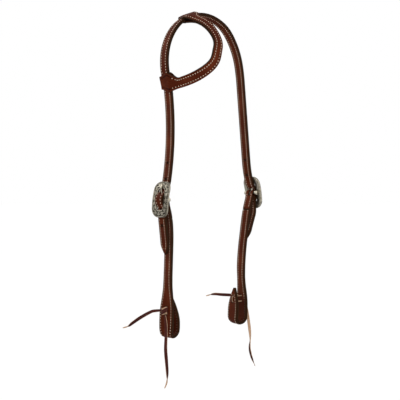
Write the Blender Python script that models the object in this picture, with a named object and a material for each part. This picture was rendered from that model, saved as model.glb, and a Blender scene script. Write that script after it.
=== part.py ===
"""Western headstall: the leather of a one-ear bridle with curved buckles and laced bit loops.

Metres, +Z up. The horse faces -Y and its right side is -X. The origin is where the crown strap rests on
the poll: the underside of the crown at the top of its arc. Each side of the straps is drawn as a route in
a vertical plane, in (out, up), where out is the distance from the horse's middle plane.
"""

import math

import bmesh
import bpy
import numpy as np
from mathutils import Matrix, Vector

# Leather
STRAP_WIDTH = 0.0159
PLY = 0.00245
GAP = 0.0003
FACET_TURN = 6.0
FACET_LENGTH = 0.015

# Crown strap, from the top of its arc down each side
CROWN_RADIUS = 0.0845
RIGHT_ARC_TURN = 108.0
RIGHT_FLARE_RADIUS = 0.080
RIGHT_FLARE_TURN = 10.0
RIGHT_FALL_LENGTH = 0.1422
RIGHT_FALL_TURN = 18.0
LEFT_ARC_TURN = 25.0
LEFT_SHOULDER_RADIUS = 0.058
LEFT_SHOULDER_TURN = 24.0
LEFT_SIDE_RADIUS = 0.109
LEFT_SIDE_TURN = 29.0
LEFT_LOWER_RADIUS = 0.267
LEFT_LOWER_TURN = 6.0
LEFT_FALL_LENGTH = 0.131
LEFT_FLARE_RADIUS = 0.170
LEFT_FLARE_TURN = 9.0

# Billets: how the crown's ends rise over the bars, and their free ends
BULGE_TURN = 48.0
BULGE_RADIUS = 0.011
SADDLE_RADIUS = 0.017
BULGE_FACET_TURN = 9.6
RIM_LEAN = 8.0
FREE_BEND_RADIUS = 0.030
RIGHT_FREE_HEADING = 97.0
RIGHT_FREE_LENGTH = 0.052
RIGHT_FREE_TURN = 0.0
LEFT_FREE_HEADING = 113.0
LEFT_FREE_LENGTH = 0.042
LEFT_FREE_TURN = -6.0
TIP_LENGTH = 0.016
TIP_NOSE = 0.0008
TIP_ROUNDNESS = 1.6
TIP_SHARES = (0.8, 0.55, 0.32, 0.14)
HOLE_PITCH = 0.0254
HOLE_RADIUS = 0.0021
USED_HOLE_RADIUS = 0.0024
HOLE_PLACES = (-2, -1, 1, 2)
HOLE_SIDES = 12
HOLE_PIN_LENGTH = 0.0108
HOLE_SWING = 0.0004

# Buckles
RIGHT_TILT = 8.0
LEFT_TILT = 10.0
FRAME_WIDTH = 0.0355
FRAME_HEIGHT = 0.055
FRAME_THICKNESS = 0.0036
FRAME_CORNER = 0.013
FRAME_CORNER_STEPS = 5
FRAME_STRIPS = 8
WINDOW_WIDTH = 0.0178
WINDOW_HEIGHT = 0.0355
WINDOW_CORNER = 0.004
WINDOW_CORNER_STEPS = 3
BAR_RADIUS = 0.0019
BAR_TO_RAIL = 0.0014
BAR_LENGTH = 0.0245
BAR_SIDES = 16
BOSS_WALL = 0.0019
BOSS_INSET = 0.0005
BOSS_SETBACK = 0.0042
SOCKET_GAP = 0.00015
EYE_WALL = 0.0012
EYE_GAP = 0.00025
EYE_LEAVE = 62.0
EYE_MOUTH_SHARE = 1.4
EYE_STEPS = 14
TONGUE_WIDTH = 0.003
TONGUE_THICKNESS = 0.002
TONGUE_OVER_RIM = 0.0068

# Cheek straps, from the bars down
CHAPE_CLOSE_LENGTH = 0.014
CHAPE_TURN_BACK = 0.031
CHAPE_STEPS = 5
SLOT_GAP = 0.0004
CHEEK_LEAN = 38.0
RIGHT_CHEEK_HEADING = 88.0
LEFT_CHEEK_HEADING = 100.0
CHEEK_EASE_STEPS = 10
RIGHT_RUN_LENGTH = 0.0567
RIGHT_RUN_TURN = -1.0
RIGHT_SWAY_LENGTH = 0.026
RIGHT_SWAY_TURN = -3.0
RIGHT_FOOT_TURN = 7.0
LEFT_RUN_LENGTH = 0.0598
LEFT_RUN_TURN = -9.0
LEFT_SWAY_LENGTH = 0.026
LEFT_SWAY_TURN = -5.0
LEFT_FOOT_TURN = 7.0
RIGHT_FOOT_LENGTH = 0.036
LEFT_FOOT_LENGTH = 0.046
CONTACT_GAP = 0.0004

# Bit loops at the feet of the cheek straps
LOOP_WIDTH = 0.025
RIGHT_LOOP_RADIUS = 0.0080
LEFT_LOOP_RADIUS = 0.0094
LOOP_STEPS = 9
LEAF_LENGTH = 0.049
LEAF_CLOSE_TURN = 3.0
LEAF_STEPS = 4
LEAF_TIP_LENGTH = 0.029
FLARE_TOP = 0.085
FLARE_FOOT = 0.038
TWIST_TOP = 0.100
TWIST_FOOT = 0.052
LOOP_TWIST = 11.0

# Lace ties through the bit loops' leaves
TIE_HEIGHT = 0.040
LACE_RADIUS = 0.0019
LACE_HOLE_GAP = 0.0003
LACE_HOLE_SPACING = 0.0095
LACE_STAND_OFF = 0.0005
LACE_CORNER = 0.0023
LACE_CORNER_STEPS = 2
LACE_PIN_LENGTH = 0.036
LACE_RESOLUTION = 2
LACE_POINT_SPACING = 0.0095
KNOT_WIDTH = 0.011
KNOT_HEIGHT = 0.0125
KNOT_DEPTH = 0.005
KNOT_SEGMENTS = 14
KNOT_RINGS = 8

# Ear strap, laid on a ball about the centre of the crown's arc; angles in degrees from the arc's top
# towards the horse's right side, and forward from the crown
EAR_MIDDLE = 74.0
EAR_REACH = 58.6
EAR_UPPER_SPAN = 42.5
EAR_LOWER_SPAN = 41.0
EAR_UPPER_ROUNDNESS = 2.5
EAR_LOWER_ROUNDNESS = 3.9
TOP_LEAF_END = 29.0
LOW_LEAF_END = 17.0
TOP_CLOSE_LENGTH = 0.030
LOW_CLOSE_LENGTH = 0.013
TOP_TAB_REAR = 19.4
TOP_TAB_FRONT = 28.5
TOP_TAB_REAR_WIDTH = 0.041
TOP_TAB_FRONT_WIDTH = 0.028
LOW_TAB_REAR = 111.0
LOW_TAB_FRONT = 111.5
LOW_TAB_REAR_WIDTH = 0.0187
LOW_TAB_FRONT_WIDTH = 0.027
TOP_TAPER_END = 24.0
LOW_TAPER_END = 14.0
EAR_ROLL = 28.0
TOP_FOLD_SHARE = 0.6
EAR_COLUMNS = 6
TAB_ROWS = 4
EAR_BAND_STEPS = 26
FOLD_STEPS = 6
FINE_STEPS = 600

OVERRUN = 0.002
WELD_DISTANCE = 0.00001
SHARP_ANGLE = 30.0
HALF_CROWN = PLY + GAP / 2
BALL_CENTRE = Vector((0.0, 0.0, -(CROWN_RADIUS - HALF_CROWN)))
EYE_RADIUS = BAR_RADIUS + EYE_GAP + EYE_WALL
RAIL_INNER = BAR_RADIUS + BAR_TO_RAIL
CREST = BAR_RADIUS + GAP + PLY + GAP + HALF_CROWN

COLOURS = {
    "leather": ((0.090, 0.022, 0.012, 1.0), 0.42, 0.0),
    "lining": ((0.070, 0.020, 0.012, 1.0), 0.55, 0.0),
    "lace": ((0.110, 0.024, 0.016, 1.0), 0.50, 0.0),
    "silver": ((0.500, 0.480, 0.440, 1.0), 0.32, 1.0),
    "steel": ((0.400, 0.390, 0.370, 1.0), 0.35, 1.0),
}


def smooth(share):
    """Ease from 0 to 1 as the share goes from 0 to 1."""
    share = min(1.0, max(0.0, share))
    return share * share * (3.0 - 2.0 * share)


def heading_vector(degrees):
    """The direction that lies this many degrees below outward, as (out, up)."""
    return np.array((math.cos(math.radians(degrees)), -math.sin(math.radians(degrees))))


def normal_vector(degrees):
    """The outward side of a line with this heading, as (out, up)."""
    return np.array((math.sin(math.radians(degrees)), math.cos(math.radians(degrees))))


class Route:
    """The middle line of a strap, as stations of (place, heading, distance along the strap)."""

    def __init__(self, place, heading):
        self.stations = [(np.array(place), heading, 0.0)]

    def bend(self, length, turn=0.0, steps=None):
        """Go on for a length that turns evenly; a positive turn is towards the horse."""
        steps = steps or max(1, round(abs(turn) / FACET_TURN), math.ceil(length / FACET_LENGTH))
        half_step = math.radians(turn / steps / 2)
        chord = length / steps * (math.sin(half_step) / half_step if turn else 1.0)
        for _ in range(steps):
            place, heading, distance = self.stations[-1]
            place = place + heading_vector(heading + turn / steps / 2) * chord
            self.stations.append((place, heading + turn / steps, distance + length / steps))
        return self

    def turn(self, radius, turn, facet_turn=FACET_TURN):
        """Go round an arc of this radius."""
        return self.bend(radius * math.radians(abs(turn)), turn, max(1, round(abs(turn) / facet_turn)))

    def ease(self, end, end_heading, steps):
        """Go to a place along a cubic that leaves and arrives on the given headings."""
        start, heading, distance = self.stations[-1]
        reach = np.linalg.norm(end - start)
        leave = heading_vector(heading) * reach
        arrive = heading_vector(end_heading) * reach
        for step in range(1, steps + 1):
            t = step / steps
            place = (
                (2 * t**3 - 3 * t**2 + 1) * start
                + (t**3 - 2 * t**2 + t) * leave
                + (3 * t**2 - 2 * t**3) * end
                + (t**3 - t**2) * arrive
            )
            slope = (
                (6 * t**2 - 6 * t) * start
                + (3 * t**2 - 4 * t + 1) * leave
                + (6 * t - 6 * t**2) * end
                + (3 * t**2 - 2 * t) * arrive
            )
            distance += np.linalg.norm(place - self.stations[-1][0])
            heading = math.degrees(math.atan2(-slope[1], slope[0])) % 360.0
            self.stations.append((place, heading, distance))
        return self

    def at(self, distance):
        """The place and heading at a distance along the route."""
        for (p, h, d), (q, k, e) in zip(self.stations, self.stations[1:]):
            if distance <= e:
                share = (distance - d) / (e - d)
                return p + (q - p) * share, h + (k - h) * share
        return self.stations[-1][:2]

    def refined(self, distances):
        """The stations with more of them at the given distances."""
        extra = [(*self.at(distance), distance) for distance in distances]
        return sorted(self.stations + extra, key=lambda station: station[2])


def offset(station, distance):
    """The place that lies a distance off a station, on its outward side."""
    return station[0] + normal_vector(station[1]) * distance


def tip_width(to_tip, length, width):
    """Half the strap's width at a distance from its pointed end."""
    share = min(1.0, max(0.0, to_tip / length))
    return TIP_NOSE + (width / 2 - TIP_NOSE) * (1.0 - (1.0 - share) ** TIP_ROUNDNESS)


def make_material(name):
    """A Principled material with the piece's plain colour."""
    material = bpy.data.materials.get(name)
    if material is None:
        colour, roughness, metallic = COLOURS[name]
        material = bpy.data.materials.new(name)
        material.use_nodes = True
        shader = material.node_tree.nodes["Principled BSDF"]
        shader.inputs["Base Color"].default_value = colour
        shader.inputs["Roughness"].default_value = roughness
        shader.inputs["Metallic"].default_value = metallic
    return material


def finish_mesh(bm, name):
    """Turn a bmesh into a mesh with its faces pointing out."""
    bmesh.ops.recalc_face_normals(bm, faces=bm.faces)
    mesh = bpy.data.meshes.new(name)
    bm.to_mesh(mesh)
    bm.free()
    return mesh


def add_piece(name, mesh, colour, axis=None, matrix=None):
    """One named piece in the headstall's collection, carried by the empty on its joint's axis if any."""
    piece = bpy.data.objects.new(name, mesh)
    mesh.materials.clear()
    mesh.materials.append(make_material(colour))
    mesh.shade_smooth()
    mesh.set_sharp_from_angle(angle=math.radians(SHARP_ANGLE))
    PIECES.objects.link(piece)
    if matrix is not None:
        piece.matrix_world = matrix
    if axis is not None:
        piece.parent = axis
        piece.matrix_parent_inverse = Matrix.Translation(-axis.location)
    return piece


def add_axis(name, place):
    """An empty on the axis of a joint."""
    axis = bpy.data.objects.new(name, None)
    axis.location = place
    axis.hide_render = True
    PIECES.objects.link(axis)
    return axis


def cut(piece, cutter, operation="DIFFERENCE"):
    """Cut a piece by a cutter, or join the cutter's shape to it."""
    boolean = piece.modifiers.new(cutter.name, "BOOLEAN")
    boolean.operation = operation
    boolean.object = cutter
    boolean.solver = "EXACT"


def add_cutter(name, mesh, matrix):
    """A guide solid that is left out of the headstall."""
    cutter = bpy.data.objects.new(name, mesh)
    cutter.matrix_world = matrix
    cutter.hide_render = True
    cutter.display_type = "WIRE"
    CUTTERS.objects.link(cutter)
    return cutter


def cylinder_mesh(name, radius, length, sides):
    """A cylinder along Z about its middle."""
    bm = bmesh.new()
    bmesh.ops.create_cone(
        bm, cap_ends=True, segments=sides, radius1=radius, radius2=radius, depth=length
    )
    return finish_mesh(bm, name)


def box_mesh(name, size):
    """A box about its middle."""
    bm = bmesh.new()
    bmesh.ops.create_cube(bm, size=1.0)
    bmesh.ops.scale(bm, vec=size, verts=bm.verts)
    return finish_mesh(bm, name)


def sheet_mesh(name, rows, columns, place):
    """A closed leather sheet: place(row, across, face) gives the corner of a row at -1 to 1 across it."""
    bm = bmesh.new()
    bmesh.ops.create_grid(bm, x_segments=rows, y_segments=columns, size=1.0)
    grid = list(bm.verts)
    shares = [(round((v.co.x + 1.0) / 2.0 * rows), v.co.y) for v in grid]
    extruded = bmesh.ops.extrude_face_region(bm, geom=bm.faces[:])["geom"]
    copies = [item for item in extruded if isinstance(item, bmesh.types.BMVert)]
    copies = {(round(v.co.x, 4), round(v.co.y, 4)): v for v in copies}
    pairs = [(v, copies[(round(v.co.x, 4), round(v.co.y, 4))]) for v in grid]
    for (row, across), (inner, outer) in zip(shares, pairs):
        inner.co = place(row, across, 0)
        outer.co = place(row, across, 1)
    return finish_mesh(bm, name)


def curve_mesh(name, curve, matrix=None):
    """A curve's evaluated mesh, with its caps welded."""
    guide = bpy.data.objects.new(name, curve)
    if matrix is not None:
        guide.matrix_world = matrix
    bpy.context.scene.collection.objects.link(guide)
    bpy.context.view_layer.update()
    graph = bpy.context.evaluated_depsgraph_get()
    mesh = bpy.data.meshes.new_from_object(guide.evaluated_get(graph))
    bpy.data.objects.remove(guide)
    bm = bmesh.new()
    bm.from_mesh(mesh)
    bpy.data.meshes.remove(mesh)
    bmesh.ops.remove_doubles(bm, verts=bm.verts, dist=WELD_DISTANCE)
    return bm


def outline_bmesh(name, outlines, thickness):
    """A flat plate between closed outlines, about its middle plane."""
    curve = bpy.data.curves.new(name, "CURVE")
    curve.dimensions = "2D"
    curve.fill_mode = "BOTH"
    curve.extrude = thickness / 2
    for outline in outlines:
        spline = curve.splines.new("POLY")
        spline.points.add(len(outline) - 1)
        for point, (x, y) in zip(spline.points, outline):
            point.co = (x, y, 0.0, 1.0)
        spline.use_cyclic_u = True
    return curve_mesh(name, curve)


def rounded_box(width, height, corner, steps):
    """The outline of a rectangle with round corners."""
    points = []
    for quarter in range(4):
        middle_x = (width / 2 - corner) * (1 if quarter in (0, 3) else -1)
        middle_y = (height / 2 - corner) * (1 if quarter < 2 else -1)
        for step in range(steps + 1):
            angle = math.radians(90.0 * (quarter + step / steps))
            points.append((middle_x + corner * math.cos(angle), middle_y + corner * math.sin(angle)))
    return points


class Side:
    """One side of the headstall: its numbers, its routes and where its pieces lie."""

    def __init__(self, name, sign, tilt, crown, contact_heading, runs, loop_radius, free):
        self.name = name
        self.sign = sign
        self.tilt = tilt
        self.chord = 90.0 - tilt
        self.crown = crown
        self.loop_radius = loop_radius
        self.raise_billet()
        self.add_free_end(*free)
        self.hang_cheek(contact_heading, runs, loop_radius)

    def raise_billet(self):
        """Bend the crown's route over the bar, and place the bar and the frame under its crest."""
        route = self.crown
        route.turn(FREE_BEND_RADIUS, self.chord - RIM_LEAN - route.stations[-1][1])
        route.bend(rim_run())
        route.turn(SADDLE_RADIUS, RIM_LEAN - BULGE_TURN, BULGE_FACET_TURN)
        route.turn(BULGE_RADIUS, BULGE_TURN, BULGE_FACET_TURN)
        crest = route.stations[-1]
        self.crest_distance = crest[2]
        self.bar = offset(crest, -CREST)
        route.turn(BULGE_RADIUS, BULGE_TURN, BULGE_FACET_TURN)
        route.turn(SADDLE_RADIUS, RIM_LEAN - BULGE_TURN, BULGE_FACET_TURN)
        route.bend(rim_run())

    def add_free_end(self, heading, length, turn):
        """Go on to the billet's pointed tip."""
        route = self.crown
        route.turn(FREE_BEND_RADIUS, heading - route.stations[-1][1])
        route.bend(length, turn)
        self.length = route.stations[-1][2]

    def hang_cheek(self, contact_heading, runs, loop_radius):
        """Lead the cheek strap from the bar to the billet's tip, which rests on it, and to its foot."""
        tip = self.crown.stations[-1]
        contact = offset(tip, -HALF_CROWN) - normal_vector(contact_heading) * (CONTACT_GAP + HALF_CROWN)
        self.cheek = Route(self.bar, self.chord + CHEEK_LEAN)
        self.cheek.ease(contact, contact_heading, CHEEK_EASE_STEPS)
        for length, turn in runs:
            self.cheek.bend(length, turn)
        self.foot = self.cheek.stations[-1]
        self.cheek.bend(math.pi * loop_radius, 180.0, LOOP_STEPS)
        self.loop_floor = min(station[0][1] for station in self.cheek.stations)
        self.loop_middle = (self.foot[0][0] + self.cheek.stations[-1][0][0]) / 2
        self.leaf_start = self.cheek.stations[-1][2]
        self.cheek.bend(LEAF_LENGTH, LEAF_CLOSE_TURN, LEAF_STEPS)
        self.cheek_length = self.cheek.stations[-1][2]

    def world(self, place, across):
        """A place of a route, at a distance across the strap towards the tail, in the world."""
        return Vector((self.sign * place[0], across, place[1]))

    def twisted(self, place, across):
        """The same on the cheek strap, whose foot turns its outer face forward."""
        height = place[1] - self.loop_floor
        angle = math.radians(LOOP_TWIST * smooth((TWIST_TOP - height) / (TWIST_TOP - TWIST_FOOT)))
        out = place[0] - self.loop_middle
        turned_out = out * math.cos(angle) + across * math.sin(angle)
        turned_across = across * math.cos(angle) - out * math.sin(angle)
        return self.world((self.loop_middle + turned_out, place[1]), turned_across)

    def buckle_matrix(self):
        """From the buckle's own axes, X out of its face and Z up its length, to the world."""
        turn = Matrix.Rotation(-self.sign * math.radians(self.tilt), 4, "Y")
        if self.sign < 0:
            turn = turn @ Matrix.Rotation(math.pi, 4, "Z")
        return Matrix.Translation(self.world(self.bar, 0.0)) @ turn


def crown_half_width(side, distance):
    """Half the crown's width, less at the billet's point."""
    return tip_width(side.length - distance, TIP_LENGTH, STRAP_WIDTH)


def add_crown(right, left):
    """The crown strap's two plies, one long piece each from billet tip to billet tip."""
    rows = []
    for side in (right, left):
        shares = [side.length - share * TIP_LENGTH for share in TIP_SHARES]
        stations = side.crown.refined(shares)
        rows.append([(side, station, crown_half_width(side, station[2])) for station in stations])
    rows = rows[0][:0:-1] + rows[1]

    def ply(name, inner, outer, colour):
        def place(row, across, face):
            side, station, half = rows[row]
            return side.world(offset(station, (inner, outer)[face]), across * half)

        return add_piece(name, sheet_mesh(name, len(rows) - 1, 1, place), colour)

    plies = [
        ply("crown_outer", GAP / 2, HALF_CROWN, "leather"),
        ply("crown_lining", -HALF_CROWN, -GAP / 2, "lining"),
    ]
    for side in (right, left):
        for cutter in billet_hole_cutters(side):
            for piece in plies:
                cut(piece, cutter)


def tongue_line():
    """The tongue's middle line in the buckle's axes: eye, over the rim's edge, and its tip."""
    eye = EYE_RADIUS - EYE_WALL / 2
    leave = math.radians(EYE_LEAVE)
    rest = GAP + TONGUE_THICKNESS / 2
    edge = WINDOW_HEIGHT / 2
    tip = edge + TONGUE_OVER_RIM
    return (
        np.array((eye * math.cos(leave), eye * math.sin(leave))),
        np.array((frame_face(edge) + rest, edge)),
        np.array((frame_face(tip) + rest, tip)),
    )


def rim_run():
    """The billet's straight run under a rim, from its bulge over the bar to the frame's edge."""
    turn, lean = math.radians(BULGE_TURN), math.radians(RIM_LEAN)
    rise = BULGE_RADIUS * math.sin(turn) + SADDLE_RADIUS * (math.sin(turn) - math.sin(lean))
    return (FRAME_HEIGHT / 2 - rise) / math.cos(lean)


def frame_bend():
    """The radius of the frame's bend, which brings its rims down onto the billet."""
    turn, lean = math.radians(BULGE_TURN), math.radians(RIM_LEAN)
    drop = BULGE_RADIUS * (1 - math.cos(turn)) + SADDLE_RADIUS * (math.cos(lean) - math.cos(turn))
    drop += rim_run() * math.sin(lean)
    rim_inner = CREST - drop + HALF_CROWN / math.cos(lean) + GAP
    return (FRAME_HEIGHT / 2) ** 2 / (2 * (RAIL_INNER - rim_inner))


def frame_face(height):
    """How far out of the bar the frame's outer face lies at a height along the frame."""
    return RAIL_INNER + FRAME_THICKNESS - height**2 / (2 * frame_bend())


def billet_hole_cutters(side):
    """Round pins for the billet's holes: the used one lies along the tongue."""
    start, edge, _ = tongue_line()
    matrix = side.buckle_matrix()
    direction = edge - start
    middle = start + direction / 2
    length = np.linalg.norm(direction)
    aim = matrix.to_3x3() @ Vector((direction[0], 0.0, direction[1]))
    swing = Vector((HOLE_SWING, 0.0, 0.0))
    spot = Matrix.Translation(matrix @ (Vector((middle[0], 0.0, middle[1])) + swing))
    turn = aim.to_track_quat("Z", "Y").to_matrix().to_4x4()
    mesh = cylinder_mesh(side.name + "used_hole", USED_HOLE_RADIUS, length, HOLE_SIDES)
    cutters = [add_cutter(side.name + "used_hole", mesh, spot @ turn)]
    used = side.crest_distance - BULGE_RADIUS * math.radians(BULGE_TURN)
    for place in HOLE_PLACES:
        middle, heading = side.crown.at(used + place * HOLE_PITCH)
        normal = normal_vector(heading)
        aim = Vector((side.sign * normal[0], 0.0, normal[1]))
        turn = aim.to_track_quat("Z", "Y").to_matrix().to_4x4()
        name = f"{side.name}hole_{place}"
        mesh = cylinder_mesh(name, HOLE_RADIUS, HOLE_PIN_LENGTH, HOLE_SIDES)
        cutters.append(add_cutter(name, mesh, Matrix.Translation(side.world(middle, 0.0)) @ turn))
    return cutters


def add_buckle(side):
    """The curved frame with a boss behind each rail, the bar in the bosses, and the tongue on the bar."""
    matrix = side.buckle_matrix()
    outlines = [
        rounded_box(FRAME_WIDTH, FRAME_HEIGHT, FRAME_CORNER, FRAME_CORNER_STEPS),
        rounded_box(WINDOW_WIDTH, WINDOW_HEIGHT, WINDOW_CORNER, WINDOW_CORNER_STEPS),
    ]
    bm = outline_bmesh(side.name + "frame_outline", outlines, FRAME_THICKNESS)
    for strip in range(1, FRAME_STRIPS):
        level = FRAME_HEIGHT * (strip / FRAME_STRIPS - 0.5)
        bmesh.ops.bisect_plane(
            bm,
            geom=bm.verts[:] + bm.edges[:] + bm.faces[:],
            plane_co=(0.0, level, 0.0),
            plane_no=(0.0, 1.0, 0.0),
        )
    for vert in bm.verts:
        x, y, z = vert.co
        vert.co = (frame_face(y) - FRAME_THICKNESS / 2 + z, x, y)
    frame = add_piece(
        side.name + "buckle_frame", finish_mesh(bm, "frame"), "silver", matrix=matrix
    )
    boss_start = WINDOW_WIDTH / 2 + BOSS_INSET
    boss_length = FRAME_WIDTH / 2 - BOSS_SETBACK - boss_start
    boss_middle = boss_start + boss_length / 2
    quarter = Matrix.Rotation(math.pi / 2, 4, "X")
    for end in (-1, 1):
        name = f"{side.name}boss_{end}"
        boss = cylinder_mesh(name, BAR_RADIUS + BOSS_WALL, boss_length, BAR_SIDES)
        spot = matrix @ Matrix.Translation((0.0, end * boss_middle, 0.0)) @ quarter
        cut(frame, add_cutter(name, boss, spot), "UNION")
    name = side.name + "socket"
    socket = cylinder_mesh(name, BAR_RADIUS + SOCKET_GAP, BAR_LENGTH + 2 * GAP, BAR_SIDES)
    cut(frame, add_cutter(name, socket, matrix @ quarter))
    bar = cylinder_mesh("bar", BAR_RADIUS, BAR_LENGTH, BAR_SIDES)
    add_piece(side.name + "buckle_bar", bar, "steel", matrix=matrix @ quarter)
    tongue = finish_mesh(outline_bmesh("tongue", tongue_outlines(), TONGUE_WIDTH), "tongue")
    add_piece(side.name + "buckle_tongue", tongue, "silver", matrix=matrix @ quarter)


def tongue_outlines():
    """The tongue seen from the side: its eye about the bar, and its shank up to the rim."""
    start, edge, tip = tongue_line()
    half = TONGUE_THICKNESS / 2
    shank = (edge - start) / np.linalg.norm(edge - start)
    last = (tip - edge) / np.linalg.norm(tip - edge)
    bisector = (shank + last) / 2
    corner = np.array((bisector[1], -bisector[0])) * half
    side_step = np.array((last[1], -last[0])) * half
    shoulder = tip - last * half
    shank_outline = [edge + corner, shoulder + side_step, tip, shoulder - side_step, edge - corner]
    spread = math.asin(half / EYE_RADIUS) * EYE_MOUTH_SHARE
    first = math.radians(EYE_LEAVE) + spread
    eye_angles = np.linspace(first, first + 2 * math.pi - 2 * spread, EYE_STEPS + 1)
    eye = [(EYE_RADIUS * math.cos(angle), EYE_RADIUS * math.sin(angle)) for angle in eye_angles]
    bore = BAR_RADIUS + EYE_GAP
    bore_angles = np.linspace(0.0, 2 * math.pi, BAR_SIDES + 1)[:-1]
    hole = [(bore * math.cos(angle), bore * math.sin(angle)) for angle in bore_angles]
    return [eye + shank_outline, hole]


def cheek_half_width(side, distance):
    """Half the cheek strap's width: wider about the bit loop, and pointed at the leaf's end."""
    bottom = (side.foot[2] + side.leaf_start) / 2
    if distance > bottom:
        return tip_width(side.cheek_length - distance, LEAF_TIP_LENGTH, LOOP_WIDTH)
    share = (FLARE_TOP - (bottom - distance)) / (FLARE_TOP - FLARE_FOOT)
    return (STRAP_WIDTH + (LOOP_WIDTH - STRAP_WIDTH) * smooth(share)) / 2


def add_cheek(side, axis):
    """The cheek strap: its outer ply wraps the bar and turns back, and both plies make the bit loop."""
    tip = [side.cheek_length - share * LEAF_TIP_LENGTH for share in TIP_SHARES]
    close = [CHAPE_CLOSE_LENGTH * step / CHAPE_STEPS for step in range(1, CHAPE_STEPS)]
    stations = side.cheek.refined(close + tip + [CHAPE_TURN_BACK, CHAPE_TURN_BACK + GAP])
    wrap = BAR_RADIUS + GAP

    def opening(distance):
        return GAP / 2 + (wrap - GAP / 2) * (1.0 - smooth(distance / CHAPE_CLOSE_LENGTH))

    outer = []
    for station in stations[::-1]:
        if station[2] <= CHAPE_TURN_BACK and station[2] > 0:
            inner = -opening(station[2])
            outer.append((offset(station, inner), offset(station, inner - PLY), station[2]))
    back, side_on = -heading_vector(side.cheek.stations[0][1]), normal_vector(side.cheek.stations[0][1])
    for step in range(FOLD_STEPS * 2 + 1):
        angle = math.pi * step / (FOLD_STEPS * 2)
        direction = back * math.sin(angle) - side_on * math.cos(angle)
        outer.append((side.bar + direction * wrap, side.bar + direction * (wrap + PLY), 0.0))
    for station in stations[1:]:
        inner = opening(station[2])
        outer.append((offset(station, inner), offset(station, inner + PLY), station[2]))
    inside = [station for station in stations if station[2] > CHAPE_TURN_BACK + GAP / 2]
    lining = [(offset(s, -GAP / 2), offset(s, -HALF_CROWN), s[2]) for s in inside]

    def ply(name, rows, colour):
        def place(row, across, face):
            half = cheek_half_width(side, rows[row][2])
            return side.twisted(rows[row][face], across * half)

        mesh = sheet_mesh(side.name + name, len(rows) - 1, 1, place)
        return add_piece(side.name + name, mesh, colour, axis)

    plies = [ply("cheek_outer", outer, "leather"), ply("cheek_lining", lining, "lining")]
    slot_depth = EYE_RADIUS + SLOT_GAP
    slot_height = slot_depth + wrap + PLY + OVERRUN
    size = (2 * (wrap + PLY + OVERRUN), TONGUE_WIDTH + 2 * SLOT_GAP, slot_height)
    spot = Matrix.Translation((0.0, 0.0, slot_height / 2 - slot_depth))
    name = side.name + "chape_slot"
    cut(plies[0], add_cutter(name, box_mesh(name, size), side.buckle_matrix() @ spot))
    for end in (-1, 1):
        name = f"{side.name}lace_hole_{end}"
        height = side.loop_floor + TIE_HEIGHT + end * LACE_HOLE_SPACING / 2
        pin = cylinder_mesh(name, LACE_RADIUS + LACE_HOLE_GAP, LACE_PIN_LENGTH, HOLE_SIDES)
        pin = add_cutter(name, pin, lace_matrix(side, height) @ Matrix.Rotation(math.pi / 2, 4, "Y"))
        for piece in plies:
            cut(piece, pin)


def lace_matrix(side, height):
    """Axes at the loop's middle at a height: X along the lace's holes, outward, and Z up."""
    middle = side.twisted((side.loop_middle, height), 0.0)
    out = (side.twisted((side.loop_middle + side.loop_radius, height), 0.0) - middle).normalized()
    up = Vector((0.0, 0.0, 1.0))
    turn = Matrix((out, up.cross(out), up)).transposed().to_4x4()
    return Matrix.Translation(middle) @ turn


def face_out(side, height, leaf):
    """How far from the loop's middle the strap's far face lies at a height, on the strap or its leaf."""
    stations = side.cheek.stations
    bottom = (side.foot[2] + side.leaf_start) / 2
    chosen = [s for s in stations if (s[2] > bottom) == leaf and s[2] > side.foot[2] - LEAF_LENGTH]
    faces = sorted((offset(s, HALF_CROWN) for s in chosen), key=lambda place: place[1])
    outs = [place[0] for place in faces]
    return float(np.interp(height, [place[1] for place in faces], outs)) - side.loop_middle


def add_tie(side, axis):
    """The lace through the loop's leaves: up one hole, down the other, knotted on the outer face."""
    middle = side.loop_floor + TIE_HEIGHT
    heights = [middle + step * KNOT_HEIGHT / 2 for step in (-1, 0, 1)]
    outer_face = max(face_out(side, height, False) for height in heights)
    inner_face = min(face_out(side, height, True) for height in heights)
    high = outer_face + LACE_STAND_OFF + LACE_RADIUS
    low = inner_face - LACE_STAND_OFF - LACE_RADIUS
    ring = bpy.data.curves.new("lace", "CURVE")
    ring.dimensions = "3D"
    ring.bevel_depth = LACE_RADIUS
    ring.bevel_resolution = LACE_RESOLUTION
    spline = ring.splines.new("POLY")
    outline = rounded_box(high - low, LACE_HOLE_SPACING, LACE_CORNER, LACE_CORNER_STEPS)
    spline.points.add(len(outline) - 1)
    for point, (x, z) in zip(spline.points, outline):
        point.co = (x + (high + low) / 2, 0.0, z, 1.0)
    spline.use_cyclic_u = True
    matrix = lace_matrix(side, middle)
    mesh = finish_mesh(curve_mesh("lace", ring), "lace")
    lace = add_piece(side.name + "tie_lacing", mesh, "lace", axis, matrix)
    bm = bmesh.new()
    bmesh.ops.create_uvsphere(bm, u_segments=KNOT_SEGMENTS, v_segments=KNOT_RINGS, radius=1.0)
    bmesh.ops.scale(bm, vec=(KNOT_DEPTH / 2, KNOT_WIDTH / 2, KNOT_HEIGHT / 2), verts=bm.verts)
    name = side.name + "knot"
    spot = Matrix.Translation((outer_face + LACE_STAND_OFF + KNOT_DEPTH / 2, 0.0, 0.0))
    cut(lace, add_cutter(name, finish_mesh(bm, name), matrix @ spot), "UNION")
    return (matrix @ spot).translation


def add_tail(name, points, axis):
    """A free end of the lace along points chosen by hand, and smoothed."""
    curve = bpy.data.curves.new(name, "CURVE")
    curve.dimensions = "3D"
    curve.bevel_depth = LACE_RADIUS
    curve.bevel_resolution = LACE_RESOLUTION
    curve.use_fill_caps = True
    route = smooth_route(points, LACE_POINT_SPACING)
    spline = curve.splines.new("POLY")
    spline.points.add(len(route) - 1)
    for point, place in zip(spline.points, route):
        point.co = (*place, 1.0)
    add_piece(name, finish_mesh(curve_mesh(name, curve), name), "lace", axis)


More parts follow.
